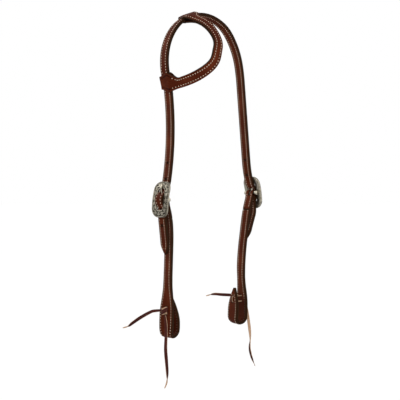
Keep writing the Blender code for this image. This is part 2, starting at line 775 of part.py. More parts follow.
def smooth_route(points, spacing):
    """A smooth curve through the points, read at an even spacing."""
    points = [Vector(point) for point in points]
    ends = [2 * points[0] - points[1], *points, 2 * points[-1] - points[-2]]
    fine = []
    for a, b, c, d in zip(ends, ends[1:], ends[2:], ends[3:]):
        for t in np.linspace(0.0, 1.0, FINE_STEPS // len(points), endpoint=False):
            square = (2 * a - 5 * b + 4 * c - d) * t**2
            cube = (3 * b - a - 3 * c + d) * t**3
            fine.append((2 * b + (c - a) * t + square + cube) / 2)
    fine.append(points[-1])
    along = np.cumsum([0.0] + [(q - p).length for p, q in zip(fine, fine[1:])])
    count = max(2, round(along[-1] / spacing))
    wanted = np.linspace(0.0, along[-1], count + 1)
    table = np.array([tuple(place) for place in fine])
    return [[float(np.interp(at, along, table[:, axis])) for axis in range(3)] for at in wanted]


def ear_direction(angle, forward):
    """The unit direction from the ball's centre at an angle round the crown and one forward of it."""
    angle, forward = math.radians(angle), math.radians(forward)
    return Vector(
        (
            -math.sin(angle) * math.cos(forward),
            -math.sin(forward),
            math.cos(angle) * math.cos(forward),
        )
    )


def ear_path():
    """The band's middle line on the ball, even along its length, as (angle, forward) in degrees."""
    edge = math.degrees(math.asin(STRAP_WIDTH / 2 / BALL_RADIUS))
    fine = []
    for t in np.linspace(0.0, math.pi, FINE_STEPS):
        upper = t < math.pi / 2
        roundness = EAR_UPPER_ROUNDNESS if upper else EAR_LOWER_ROUNDNESS
        span = EAR_UPPER_SPAN if upper else EAR_LOWER_SPAN
        shift = (TOP_TAB_FRONT - EAR_MIDDLE + span) if upper else (LOW_TAB_FRONT - EAR_MIDDLE - span)
        taper_end = TOP_TAPER_END if upper else LOW_TAPER_END
        along = math.copysign(abs(math.cos(t)) ** (2 / roundness), math.cos(t))
        forward = EAR_REACH * math.sin(t) ** (2 / roundness)
        if forward < 2 * edge:
            continue
        fade = 1.0 - smooth((forward - edge) / (taper_end - edge))
        fine.append((EAR_MIDDLE - span * along + shift * fade, forward))
    places = [ear_direction(*item) for item in fine]
    along = np.cumsum([0.0] + [(q - p).length for p, q in zip(places, places[1:])])
    wanted = np.linspace(0.0, along[-1], EAR_BAND_STEPS + 1)
    return [
        tuple(float(np.interp(at, along, [item[axis] for item in fine])) for axis in (0, 1))
        for at in wanted
    ]


def tab_station(angle, across, width):
    """A line of the ear strap's tab where it crosses over the crown, at a place across the crown."""

    def corner(share):
        turned = angle + math.degrees(share * width / 2 / CROWN_RADIUS)
        radial = ear_direction(turned, 0.0)
        return radial * CROWN_RADIUS + Vector((0.0, across, 0.0)), radial

    return corner


def tab_stations(rear_angle, front_angle, rear_width, front_width):
    """The lines of a tab from the crown's rear edge to its front edge."""
    stations = []
    for row in range(TAB_ROWS + 1):
        share = row / TAB_ROWS
        angle = rear_angle + (front_angle - rear_angle) * share
        width = rear_width + (front_width - rear_width) * share
        stations.append(tab_station(angle, STRAP_WIDTH * (0.5 - share), width))
    return stations


def band_station(angle, forward, next_angle, next_forward, width, roll):
    """A line across the ear strap's band, square to its path, its front edge rolled in towards the ear."""
    direction = ear_direction(angle, forward)
    ahead = ear_direction(next_angle, next_forward) - direction
    sideways = ahead.cross(direction).normalized()
    roll = math.radians(roll)

    def corner(share):
        turn = share * width / 2 / BALL_RADIUS
        flat = direction * math.cos(turn) + sideways * math.sin(turn)
        raised = direction * (share * width / 2 * math.sin(roll))
        closer = sideways * (share * width / 2 * (1.0 - math.cos(roll)))
        return flat * BALL_RADIUS + raised - closer, flat * math.cos(roll) - sideways * math.sin(roll)

    return corner


def crown_lift(crown, angle):
    """How far the crown's outer face stands off its arc at an angle, where it has left the arc."""
    ray = np.array((math.sin(math.radians(angle)), math.cos(math.radians(angle))))
    centre = np.array((0.0, BALL_CENTRE.z))
    faces = [offset(station, HALF_CROWN) - centre for station in crown.stations]
    for p, q in zip(faces, faces[1:]):
        before, after = np.cross(ray, p), np.cross(ray, q)
        if before <= 0.0 < -after or before >= 0.0 > after or before == 0.0:
            share = before / (before - after)
            reach = float(np.dot(p + (q - p) * share, ray))
            if reach > 0.0:
                return max(0.0, reach - CROWN_RADIUS - HALF_CROWN)
    return 0.0


def add_ear(right, axis):
    """The ear strap: a tab folded round the crown at each end of a band that goes forward."""
    path = ear_path()
    top_taper = (TOP_TAB_FRONT_WIDTH, TOP_TAPER_END)
    low_taper = (LOW_TAB_FRONT_WIDTH, LOW_TAPER_END)
    top = (TOP_TAB_REAR, TOP_TAB_FRONT, TOP_TAB_REAR_WIDTH, TOP_TAB_FRONT_WIDTH)
    low = (LOW_TAB_REAR, LOW_TAB_FRONT, -LOW_TAB_REAR_WIDTH, -LOW_TAB_FRONT_WIDTH)
    stations = tab_stations(*top)
    forwards = [0.0] * len(stations)
    edge = math.degrees(math.asin(STRAP_WIDTH / 2 / BALL_RADIUS))
    for index, (angle, forward) in enumerate(path):
        after = path[min(index + 1, len(path) - 1)]
        before = path[max(index - 1, 0)]
        tab, taper_end = top_taper if index < len(path) / 2 else low_taper
        share = smooth((forward - edge) / (taper_end - edge))
        ahead = (angle + after[0] - before[0], forward + after[1] - before[1])
        width = tab + (STRAP_WIDTH - tab) * share
        roll = EAR_ROLL * smooth((forward - LOW_LEAF_END) / (EAR_REACH - LOW_LEAF_END))
        stations.append(band_station(angle, forward, *ahead, width, roll))
        forwards.append(forward)
    stations += tab_stations(*low)[::-1]
    forwards += [0.0] * (TAB_ROWS + 1)
    wrap = HALF_CROWN + GAP
    last = len(stations) - 1

    def leaf(station, sign):
        def place(across, face):
            base, radial = stations[station](across)
            close_length = TOP_CLOSE_LENGTH if station < last / 2 else LOW_CLOSE_LENGTH
            ahead = smooth((-base.y - STRAP_WIDTH / 2) / close_length)
            opening = wrap + (GAP / 2 - wrap) * ahead
            lift = 0.0
            if sign > 0:
                angle = math.degrees(math.atan2(-base.x, base.z))
                lift = crown_lift(right.crown, angle) * (1.0 - ahead)
            return BALL_CENTRE + base + radial * (sign * (opening + face * PLY) + lift)

        return place

    def fold(station, turn):
        def place(across, face):
            base, radial = stations[station](across)
            angle = math.degrees(math.atan2(-base.x, base.z))
            lift = crown_lift(right.crown, angle) * (1.0 + math.cos(turn)) / 2
            reach = wrap + face * PLY
            depth = TOP_FOLD_SHARE if station == 0 else 1.0
            rear = Vector((0.0, depth * reach * math.sin(turn), 0.0))
            return BALL_CENTRE + base + rear + radial * (reach * math.cos(turn) + lift)

        return place

    top_end = next(i for i in range(last) if forwards[i] > TOP_LEAF_END)
    low_end = next(i for i in range(last, 0, -1) if forwards[i] > LOW_LEAF_END)
    turns = [math.pi * step / FOLD_STEPS for step in range(1, FOLD_STEPS)]
    rows = [leaf(station, -1) for station in range(top_end, -1, -1)]
    rows += [fold(0, turn) for turn in turns[::-1]]
    rows += [leaf(station, 1) for station in range(last + 1)]
    rows += [fold(last, turn) for turn in turns]
    rows += [leaf(station, -1) for station in range(last, low_end - 1, -1)]

    def ply(name, rows, colour):
        def place(row, across, face):
            return rows[row](across, face)

        add_piece(name, sheet_mesh(name, len(rows) - 1, EAR_COLUMNS, place), colour, axis)

    def between(station, other, share):
        first, second = leaf(station, -1), leaf(other, -1)
        return lambda across, face: first(across, face).lerp(second(across, face), share)

    step = (stations[top_end](0.0)[0] - stations[top_end + 1](0.0)[0]).length
    lining = [between(top_end, top_end + 1, GAP / step)]
    lining += [leaf(station, -1) for station in range(top_end + 1, low_end)]
    lining += [between(low_end, low_end - 1, GAP / step)]
    ply("ear_outer", rows, "leather")
    ply("ear_lining", lining, "lining")


for old in list(bpy.data.objects):
    bpy.data.objects.remove(old)
PIECES = bpy.data.collections.new("Western headstall")
CUTTERS = bpy.data.collections.new("Cutters")
bpy.context.scene.collection.children.link(PIECES)
bpy.context.scene.collection.children.link(CUTTERS)
CUTTERS.hide_render = True

ARC_TOP = (0.0, HALF_CROWN)
RIGHT_CROWN = Route(ARC_TOP, 0.0)
RIGHT_CROWN.turn(CROWN_RADIUS, RIGHT_ARC_TURN)
RIGHT_CROWN.turn(RIGHT_FLARE_RADIUS, -RIGHT_FLARE_TURN)
RIGHT_CROWN.bend(RIGHT_FALL_LENGTH, -RIGHT_FALL_TURN)
LEFT_CROWN = Route(ARC_TOP, 0.0)
LEFT_CROWN.turn(CROWN_RADIUS, LEFT_ARC_TURN)
LEFT_CROWN.turn(LEFT_SHOULDER_RADIUS, LEFT_SHOULDER_TURN)
LEFT_CROWN.turn(LEFT_SIDE_RADIUS, LEFT_SIDE_TURN)
LEFT_CROWN.turn(LEFT_LOWER_RADIUS, LEFT_LOWER_TURN)
LEFT_CROWN.bend(LEFT_FALL_LENGTH)
LEFT_CROWN.turn(LEFT_FLARE_RADIUS, -LEFT_FLARE_TURN)
BALL_RADIUS = math.hypot(CROWN_RADIUS, STRAP_WIDTH / 2)

RIGHT = Side(
    "right_",
    -1,
    RIGHT_TILT,
    RIGHT_CROWN,
    RIGHT_CHEEK_HEADING,
    (
        (RIGHT_RUN_LENGTH, RIGHT_RUN_TURN),
        (RIGHT_SWAY_LENGTH, RIGHT_SWAY_TURN),
        (RIGHT_FOOT_LENGTH, RIGHT_FOOT_TURN),
    ),
    RIGHT_LOOP_RADIUS,
    (RIGHT_FREE_HEADING, RIGHT_FREE_LENGTH, RIGHT_FREE_TURN),
)
LEFT = Side(
    "left_",
    1,
    LEFT_TILT,
    LEFT_CROWN,
    LEFT_CHEEK_HEADING,
    (
        (LEFT_RUN_LENGTH, LEFT_RUN_TURN),
        (LEFT_SWAY_LENGTH, LEFT_SWAY_TURN),
        (LEFT_FOOT_LENGTH, LEFT_FOOT_TURN),
    ),
    LEFT_LOOP_RADIUS,
    (LEFT_FREE_HEADING, LEFT_FREE_LENGTH, LEFT_FREE_TURN),
)
# Lace ends, as places (out, towards the tail, up) from the middle of their knot
TAILS = {
    "right_tie_tail_rear": (
        (0.0004, 0.0063, 0.0002),
        (0.0040, 0.0140, -0.0008),
        (0.0080, 0.0220, -0.0029),
        (0.0180, 0.0340, -0.0115),
        (0.0260, 0.0440, -0.0203),
        (0.0305, 0.0500, -0.0260),
        (0.0360, 0.0570, -0.0290),
    ),
    "right_tie_tail_down": (
        (0.0000, -0.0010, -0.0069),
        (0.0004, -0.0040, -0.0170),
        (0.0014, -0.0058, -0.0330),
        (0.0026, -0.0060, -0.0560),
        (0.0010, -0.0060, -0.0750),
        (-0.0006, -0.0060, -0.0940),
        (0.0002, -0.0060, -0.1070),
        (0.0045, -0.0060, -0.1154),
    ),
    "left_tie_tail_rear": (
        (0.0004, 0.0063, 0.0002),
        (0.0030, 0.0130, 0.0012),
        (-0.0030, 0.0270, 0.0020),
        (-0.0120, 0.0430, 0.0022),
        (-0.0190, 0.0560, 0.0024),
        (-0.0260, 0.0685, -0.0012),
    ),
    "left_tie_tail_down": (
        (0.0000, -0.0010, -0.0069),
        (0.0022, -0.0020, -0.0170),
        (0.0050, -0.0020, -0.0300),
        (0.0093, -0.0020, -0.0525),
        (0.0112, -0.0020, -0.0705),
        (0.0098, -0.0020, -0.0863),
        (0.0140, -0.0020, -0.1015),
        (0.0233, -0.0020, -0.1194),
    ),
}

add_crown(RIGHT, LEFT)
add_ear(RIGHT, add_axis("ear_axis", BALL_CENTRE))
for SIDE in (RIGHT, LEFT):
    add_buckle(SIDE)
    CHEEK_AXIS = add_axis(SIDE.name + "cheek_axis", SIDE.world(SIDE.bar, 0.0))
    add_cheek(SIDE, CHEEK_AXIS)
    KNOT = add_tie(SIDE, CHEEK_AXIS)
    for NAME, POINTS in TAILS.items():
        if NAME.startswith(SIDE.name):
            PLACES = [KNOT + Vector((SIDE.sign * out, across, up)) for out, across, up in POINTS]
            add_tail(NAME, PLACES, CHEEK_AXIS)
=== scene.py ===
"""Looks of a western one-ear headstall: two sewn leather plies for the crown, ear loop and cheek
straps, engraved silver-coloured buckles, and bit loops tied with flat latigo lace.
Metres; the horse faces -Y, its right side (with the ear loop) is -X, and Z is up."""

import bmesh
import bpy
import numpy as np
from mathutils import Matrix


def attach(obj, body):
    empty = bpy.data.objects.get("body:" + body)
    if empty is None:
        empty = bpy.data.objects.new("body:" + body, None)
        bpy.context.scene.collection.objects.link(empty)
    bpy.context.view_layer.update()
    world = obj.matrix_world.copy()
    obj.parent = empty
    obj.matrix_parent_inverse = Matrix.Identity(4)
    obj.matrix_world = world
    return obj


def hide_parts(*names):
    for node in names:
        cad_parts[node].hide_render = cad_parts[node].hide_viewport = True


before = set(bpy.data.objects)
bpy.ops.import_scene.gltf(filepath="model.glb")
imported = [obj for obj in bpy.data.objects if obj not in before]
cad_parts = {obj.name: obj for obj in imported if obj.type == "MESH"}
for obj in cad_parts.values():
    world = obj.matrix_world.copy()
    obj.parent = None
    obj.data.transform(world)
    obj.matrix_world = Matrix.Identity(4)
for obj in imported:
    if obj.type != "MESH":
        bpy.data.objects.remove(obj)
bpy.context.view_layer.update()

# ---------------------------------------------------------------------------------------------
# Camera: level with the middle of the headstall, in front of its right side, as it was pictured.
scene = bpy.context.scene
scene.view_settings.view_transform = "Standard"
lens = bpy.data.cameras.new("Camera")
lens.sensor_width = 36.0
lens.lens = 60.3
camera = bpy.data.objects.new("Camera", lens)
camera.location = (-0.7414, -0.7839, -0.2934)
camera.rotation_euler = (np.pi / 2, 0.0, np.radians(-43.0))
scene.collection.objects.link(camera)
scene.camera = camera

# ---------------------------------------------------------------------------------------------
# Lace tails: the free ends of each bit loop's tie, flat latigo lace 3.8 mm wide, burgundy on its
# grain side and tan on its flesh side. They hang from the knot, which holds them by friction.
LACE_WIDTH = 0.0038
LACE_THICKNESS = 0.0021
LACE_GRAIN = (0.046, 0.0070, 0.0042, 1.0)
LACE_WORN = (0.082, 0.014, 0.008, 1.0)
LACE_FLESH = (0.620, 0.420, 0.280, 1.0)
LACE_FLESH_DARK = (0.27, 0.145, 0.08, 1.0)
# The middle of each knot, from which its tails' places are counted
KNOTS = {"right": (-0.08665, -0.00246, -0.46204), "left": (0.09121, -0.00295, -0.45966)}
TAILS = {
    "right_tie_tail_rear": (
        (0.0004, 0.0063, 0.0002),
        (0.0040, 0.0140, -0.0008),
        (0.0080, 0.0220, -0.0029),
        (0.0180, 0.0340, -0.0115),
        (0.0260, 0.0440, -0.0203),
        (0.0305, 0.0500, -0.0260),
        (0.0360, 0.0570, -0.0290),
    ),
    "right_tie_tail_down": (
        (0.0000, -0.0010, -0.0069),
        (0.0004, -0.0040, -0.0170),
        (0.0014, -0.0058, -0.0330),
        (0.0026, -0.0060, -0.0560),
        (0.0010, -0.0060, -0.0750),
        (-0.0006, -0.0060, -0.0940),
        (0.0002, -0.0060, -0.1070),
        (0.0045, -0.0060, -0.1154),
    ),
    "left_tie_tail_rear": (
        (0.0004, 0.0063, 0.0002),
        (0.0030, 0.0130, 0.0012),
        (-0.0030, 0.0270, 0.0020),
        (-0.0120, 0.0430, 0.0022),
        (-0.0190, 0.0560, 0.0024),
        (-0.0260, 0.0685, -0.0012),
    ),
    "left_tie_tail_down": (
        (0.0000, -0.0010, -0.0069),
        (0.0022, -0.0020, -0.0170),
        (0.0050, -0.0020, -0.0300),
        (0.0093, -0.0020, -0.0525),
        (0.0112, -0.0020, -0.0705),
        (0.0098, -0.0020, -0.0863),
        (0.0140, -0.0020, -0.1015),
        (0.0233, -0.0020, -0.1194),
    ),
}
# How far each tail turns over its length, in degrees: from, to
TAIL_ROLLS = {
    "right_tie_tail_rear": (62.0, 108.0),
    "right_tie_tail_down": (4.0, 88.0),
    "left_tie_tail_rear": (60.0, 112.0),
    "left_tie_tail_down": (15.0, 200.0),
}
# The roll's waver in degrees and its phase in radians, and the tip's curl in degrees with the
# shares of the length at which it starts and that it takes
TAIL_WAVER, WAVER_PHASE = 9.0, 11.0
TIP_CURL, CURL_START, CURL_LENGTH = 125.0, 0.80, 0.16
# The cut tip: the share of the length that it takes, and its width and thickness as shares of
# the lace's
TIP_SHARE, TIP_WIDTH, TIP_THICKNESS = 22 / 89, 0.36, 0.40
TAIL_SWELL = 0.38
# The powers that square up the lace's section, across it and through it; 1 gives an oval
LACE_SHOULDERS = (0.45, 0.6)
LACE_SHINE = 0.12
WHITE = (1.0, 1.0, 1.0, 1.0)


def unit(vectors):
    """Each vector divided by its length."""
    return vectors / np.linalg.norm(vectors, axis=-1, keepdims=True)


def ease(share):
    """From 0 to 1 as the share goes from 0 to 1: share squared times (3 minus 2 share)."""
    share = np.clip(share, 0.0, 1.0)
    return share * share * (3.0 - 2.0 * share)


def squared_up(wave, power):
    """A wave from -1 to 1 with fuller shoulders: its sign times its size to a power under 1."""
    return np.sign(wave) * np.abs(wave) ** power


def lengths_along(points):
    """The distance of each point from the first one, measured along them."""
    return np.concatenate(([0.0], np.cumsum(np.linalg.norm(np.diff(points, axis=0), axis=1))))


def read_at(wanted, along, values):
    """Rows of values known at the lengths along, read straight between them where wanted."""
    return np.stack([np.interp(wanted, along, column) for column in values.T], -1)


def between(lines, index):
    """Points, or whole lines, read smoothly at a broken number: between b and c, with a before
    them and d after, it is half of 2b + (c-a)t + (2a-5b+4c-d)t^2 + (3b-a-3c+d)t^3."""
    whole = np.clip(np.floor(index).astype(int), 0, len(lines) - 2)
    t = (index - whole).reshape(-1, *[1] * (lines.ndim - 1))
    lines = np.concatenate((2 * lines[:1] - lines[1:2], lines, 2 * lines[-1:] - lines[-2:-1]))
    a, b, c, d = (lines[whole + k] for k in range(4))
    return (2 * b + (c - a) * t + (2 * a - 5 * b + 4 * c - d) * t**2 + (3 * b - a - 3 * c + d) * t**3) / 2


def smoothed(points, count):
    """This many even places on the smooth curve through the points."""
    steps = len(points) - 1
    fine = between(points, np.linspace(0.0, steps, 60 * steps + 1))
    along = lengths_along(fine)
    return read_at(np.linspace(0.0, along[-1], count), along, fine)


def carried_faces(stations, rim, closed=False):
    """The faces of a profile of rim points carried past stations: a point, the next one round, and
    the same two at the next station. A closed run meets itself, and an open one has flat ends."""
    number = np.arange(stations * rim).reshape(stations, rim)
    around = np.roll(number, -1, axis=1)
    faces = np.stack((number, around, np.roll(around, -1, axis=0), np.roll(number, -1, axis=0)), -1)
    if closed:
        return faces.reshape(-1, 4).tolist()
    return faces[:-1].reshape(-1, 4).tolist() + [number[0][::-1].tolist(), number[-1].tolist()]


def lace_strip(line, reference, roll, width, thickness, closed=False):
    """A flat strip along a line. With the tangent t, its side s is t x reference and its face n is
    s x t, both turned about t by the roll, and the profile's point (x, y) lies at
    place + x s + y n: x is half the width times a squared-up cos, y half the thickness times sin."""
    tangent = unit(np.roll(line, -1, 0) - np.roll(line, 1, 0) if closed else np.gradient(line, axis=0))
    side = unit(np.cross(tangent, reference))
    face = np.cross(side, tangent)
    roll = np.radians(roll)[:, None]
    side, face = side * np.cos(roll) + face * np.sin(roll), face * np.cos(roll) - side * np.sin(roll)
    angle = np.arange(16) * np.pi / 8
    x, y = (squared_up(wave(angle), power) for wave, power in zip((np.cos, np.sin), LACE_SHOULDERS))
    wide, thick = (np.broadcast_to(size, len(line))[:, None, None] / 2 for size in (width, thickness))
    points = line[:, None] + side[:, None] * x[:, None] * wide + face[:, None] * y[:, None] * thick
    # The cut flesh side shows on the back and along both edges
    flesh = np.maximum(np.clip((-y - 0.35) / 0.3, 0.0, 1.0), np.clip((np.abs(x) - 0.94) / 0.04, 0.0, 1.0))
    return points.reshape(-1, 3), carried_faces(len(line), 16, closed), {"flesh": np.tile(flesh, len(line))}


def joined(parts):
    """Several (points, faces, values) as one."""
    points, faces, values, start = [], [], {}, 0
    for some_points, some_faces, some_values in parts:
        points.append(some_points)
        faces += [[corner + start for corner in face] for face in some_faces]
        for name, numbers in some_values.items():
            values.setdefault(name, []).append(numbers)
        start += len(some_points)
    return np.vstack(points), faces, {name: np.concatenate(found) for name, found in values.items()}


def make_piece(name, shape, material, body, nodes=(), slot=None, sharp=55.0):
    """One piece from its points, faces and the values on its points; faces out, smooth, riding on
    its body and standing for its solids."""
    points, faces, values = shape
    mesh = bpy.data.meshes.new(name)
    mesh.from_pydata(points.tolist(), [], faces)
    for value, numbers in values.items():
        mesh.attributes.new(value, "FLOAT", "POINT").data.foreach_set("value", numbers.astype(np.float32))
    bm = bmesh.new()
    bm.from_mesh(mesh)
    bmesh.ops.recalc_face_normals(bm, faces=bm.faces)
    bm.to_mesh(mesh)
    bm.free()
    mesh.shade_smooth()
    mesh.set_sharp_from_angle(angle=np.radians(sharp))
    mesh.materials.append(material)
    piece = bpy.data.objects.new(name, mesh)
    scene.collection.objects.link(piece)
    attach(piece, body)
    if nodes:
        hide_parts(*nodes)
    return piece


def wire(tree, kind, sockets=(), **settings):
    """One shader node with its settings; each socket named or numbered gets a value or a link."""
    made = tree.nodes.new("ShaderNode" + kind)
    for setting, value in settings.items():
        setattr(made, setting, value)
    for socket, value in dict(sockets).items():
        if isinstance(value, bpy.types.NodeSocket):
            tree.links.new(value, made.inputs[socket])
        else:
            made.inputs[socket].default_value = value
    return made


def read_value(tree, name):
    """The value of that name on the piece's points."""
    return wire(tree, "Attribute", attribute_name=name).outputs["Fac"]


def sum_of(tree, kind, *terms):
    """A Math node's result for up to three terms, which are numbers or sockets."""
    return wire(tree, "Math", enumerate(terms), operation=kind).outputs[0]


def span(tree, value, low, high, to_low=0.0, to_high=1.0):
    """A value eased from one span to another."""
    sockets = {0: value, 1: low, 2: high, 3: to_low, 4: to_high}
    return wire(tree, "MapRange", sockets, interpolation_type="SMOOTHSTEP").outputs[0]


def blend_colour(tree, share, first, second, kind="MIX"):
    """Two colours mixed by a share."""
    sockets = {0: share, 6: first, 7: second}
    return wire(tree, "Mix", sockets, data_type="RGBA", blend_type=kind).outputs[2]


def noise(tree, scale, detail, roughness=0.5):
    """Noise from 0 to 1, fixed to the piece."""
    spot = wire(tree, "TexCoord").outputs["Object"]
    sockets = {"Vector": spot, "Scale": scale, "Detail": detail, "Roughness": roughness}
    return wire(tree, "TexNoise", sockets).outputs["Fac"]


def new_group(name, inputs, outputs):
    """A shader node group with its named sockets: (tree, what it is given, its output node)."""
    tree = bpy.data.node_groups.new(name, "ShaderNodeTree")
    for way, sockets in (("INPUT", inputs), ("OUTPUT", outputs)):
        for socket, kind in sockets:
            tree.interface.new_socket(socket, in_out=way, socket_type="NodeSocket" + kind)
    return tree, tree.nodes.new("NodeGroupInput").outputs, tree.nodes.new("NodeGroupOutput")


def finish_group(tree, result, **sockets):
    """Link a group's results to its output node, by name."""
    for name, socket in sockets.items():
        tree.links.new(socket, result.inputs[name])
    return tree


def grain_group():
    """Leather's grain: pebbles with creases darkened by painted shade, fine pores and slow patches of wear."""
    inputs = (("Colour", "Color"), ("Worn colour", "Color"), ("Pebbles", "Float"), ("Gloss", "Float"))
    outputs = (("Colour", "Color"), ("Roughness", "Float"), ("Height", "Float"))
    tree, given, result = new_group("leather_grain", inputs, outputs)
    spot = wire(tree, "TexCoord").outputs["Object"]
    bent = wire(tree, "TexNoise", {"Vector": spot, "Scale": 160.0, "Detail": 2.0}).outputs["Color"]
    bent = wire(tree, "VectorMath", {0: bent, 1: (0.004,) * 3, 2: spot}, operation="MULTIPLY_ADD").outputs[0]
    cells = wire(tree, "TexVoronoi", {"Vector": bent, "Scale": given["Pebbles"]}, feature="DISTANCE_TO_EDGE")
    crease = span(tree, cells.outputs["Distance"], 0.0, 0.16)
    pores, streaks = noise(tree, 2600.0, 3.0), noise(tree, 210.0, 3.0)
    patches = span(tree, noise(tree, 26.0, 4.0, 0.6), 0.42, 0.68)
    wear = sum_of(tree, "MULTIPLY_ADD", patches, 0.75, span(tree, streaks, 0.5, 0.8, 0.0, 0.35))
    colour = blend_colour(tree, wear, given["Colour"], given["Worn colour"])
    # Painted shade: the creases between the pebbles are darkened
    shade = blend_colour(tree, sum_of(tree, "SUBTRACT", 1.0, crease), WHITE, (0.55, 0.5, 0.5, 1.0))
    colour = blend_colour(tree, 1.0, colour, shade, "MULTIPLY")
    rough = sum_of(tree, "MULTIPLY_ADD", streaks, 0.28, sum_of(tree, "SUBTRACT", 0.52, given["Gloss"]))
    height = sum_of(tree, "MULTIPLY_ADD", pores, 0.35, sum_of(tree, "MULTIPLY", crease, 0.6))
    return finish_group(tree, result, Colour=colour, Roughness=rough, Height=height)


GRAIN = grain_group()


def grain_of(tree, colour, worn, pebbles, gloss):
    """The grain group's results in a material."""
    sockets = {"Colour": colour, "Worn colour": worn, "Pebbles": pebbles, "Gloss": gloss}
    return wire(tree, "Group", sockets, node_tree=GRAIN).outputs


def new_material(name):
    """A material with its node tree and its Principled shader."""
    material = bpy.data.materials.new(name)
    material.use_nodes = True
    return material, material.node_tree, material.node_tree.nodes["Principled BSDF"]


def finish_shader(tree, shader, colour, rough, height, relief, strength):
    """Link colour, roughness and the bump of a height, with its relief in metres."""
    bump = wire(tree, "Bump", {"Height": height, "Strength": strength, "Distance": relief}).outputs["Normal"]
    for socket, value in (("Base Color", colour), ("Roughness", rough), ("Normal", bump)):
        tree.links.new(value, shader.inputs[socket])


def lace_material():
    """Latigo lace: glossy burgundy grain, and a fibrous tan flesh side where flesh is 1."""
    material, tree, shader = new_material("latigo_lace")
    grain = grain_of(tree, LACE_GRAIN, LACE_WORN, 1500.0, 0.12)
    fibres = noise(tree, 1500.0, 4.0, 0.7)
    tan = blend_colour(tree, span(tree, fibres, 0.3, 0.75), LACE_FLESH, LACE_FLESH_DARK)
    ragged = sum_of(tree, "MULTIPLY_ADD", sum_of(tree, "SUBTRACT", fibres, 0.5), 0.7, read_value(tree, "flesh"))
    flesh = span(tree, ragged, 0.3, 0.6)
    colour = blend_colour(tree, flesh, grain["Colour"], tan)
    rough = sum_of(tree, "MULTIPLY_ADD", flesh, 0.4, grain["Roughness"])
    height = sum_of(tree, "MULTIPLY_ADD", fibres, sum_of(tree, "MULTIPLY_ADD", flesh, 0.7, 0.1), grain["Height"])
    finish_shader(tree, shader, colour, rough, height, 0.0002, 0.5)
    shader.inputs["Specular IOR Level"].default_value = LACE_SHINE
    return material


LACE = lace_material()

for tail, places in TAILS.items():
    hand = tail.split("_")[0]
    sign = -1 if hand == "right" else 1
    rough_line = np.array(places) * (sign, 1, 1) + KNOTS[hand]
    route, line = smoothed(rough_line, 30), smoothed(rough_line, 90)
    reference = (0.0, 0.0, 1.0) if tail.endswith("rear") else (float(sign), 0.0, 0.0)
    share = np.linspace(0.0, 1.0, len(line))
    first, last = TAIL_ROLLS[tail]
    roll = first + (last - first) * ease(share) + TAIL_WAVER * np.sin(share * WAVER_PHASE)
    roll += TIP_CURL * ease((share - CURL_START) / CURL_LENGTH)
    # A lace swells a little in its middle, and is cut to a point at its tip
    to_tip = np.clip((1.0 - share) / TIP_SHARE, 0.0, 1.0)
    width = LACE_WIDTH * (TIP_WIDTH + (1.0 - TIP_WIDTH) * to_tip**0.8) * (1.0 + TAIL_SWELL * np.sin(np.pi * share))
    thickness = LACE_THICKNESS * (TIP_THICKNESS + 0.50 * to_tip**0.7)
    shape = lace_strip(line, reference, roll, width, thickness)
    piece = make_piece(tail.replace("tail", "lace"), shape, LACE, hand + "_cheek", (tail,), "lace")

# ---------------------------------------------------------------------------------------------
# Crown strap: two long plies of reddish-brown harness leather, 15.9 mm wide, sewn together with
# two rows of cream thread. It bends over each buckle's bar and ends in a pointed, punched billet.
STRAP_WIDTH = 0.0159
PLY = 0.00245
GAP = 0.0003
HALF_STRAP = PLY + GAP / 2
# The crown's line down each side from its top, as even bends: length, and turn in degrees
CROWN_BENDS_RIGHT = (
    (0.159279, 108), (0.013963, -10), (0.1422, -18), (0.003142, -6), (0.009147, 0), (0.011868, -40),
    (0.018431, 96), (0.011868, -40), (0.009147, 0), (0.003665, 7), (0.052, 0),
)
CROWN_BENDS_LEFT = (
    (0.03687, 25), (0.024295, 24), (0.05517, 29), (0.02796, 6), (0.131, 0), (0.026704, -9),
    (0.001571, -3), (0.009147, 0), (0.011868, -40), (0.018431, 96), (0.011868, -40), (0.009147, 0),
    (0.01309, 25), (0.042, -6),
)
# Where each tongue goes through the crown: at the start of its bend over the buckle's bar
USED_HOLES = {"right": 0.339598, "left": 0.324585}
HOLE_PITCH = 0.0254
HOLE_RADIUS = 0.0021
USED_HOLE_RADIUS = 0.0026
HOLE_CELLS, RIM_RING = 6, 3
TIP_LENGTH = 0.016
TIP_NOSE = 0.0008
# Rounding of a ply's outer and inner face, each at its edge and at its holes
FACE_ROUNDING, BACK_ROUNDING = (0.0007, 0.00035), (0.0002, 0.00015)
DYED_WIDTH = 0.0008
LEATHER = (0.076, 0.0142, 0.0048, 1.0)
LEATHER_WORN = (0.142, 0.0310, 0.0110, 1.0)
LINING = (0.078, 0.0160, 0.0058, 1.0)
LINING_WORN = (0.135, 0.034, 0.013, 1.0)
EDGE_DYE = (0.0270, 0.0115, 0.0046, 1.0)
LEATHER_SHINE = 0.020
CROWN_SPACING = 0.0021
STITCH_PITCH = 0.0040
STITCH_LENGTH = 0.0026
STITCH_RADIUS = 0.00074
STITCH_RISE = 0.00042
STITCH_BEND = 0.0009
STITCH_LEAN = 0.10
TWIST_PITCH = 0.0009
# A small step over a strap's face, to find its directions
NUDGE = 0.0004
ROW_INSET = 0.0030
CROWN_UNSEWN = 0.008
THREAD = (0.920, 0.740, 0.560, 1.0)
THREAD_SOILED = (0.66, 0.48, 0.35, 1.0)
# The colour of the painted shade on the thread inside the bit loop
THREAD_IN_SHADE = (0.085, 0.045, 0.028, 1.0)
LINE_STEP = 0.0002


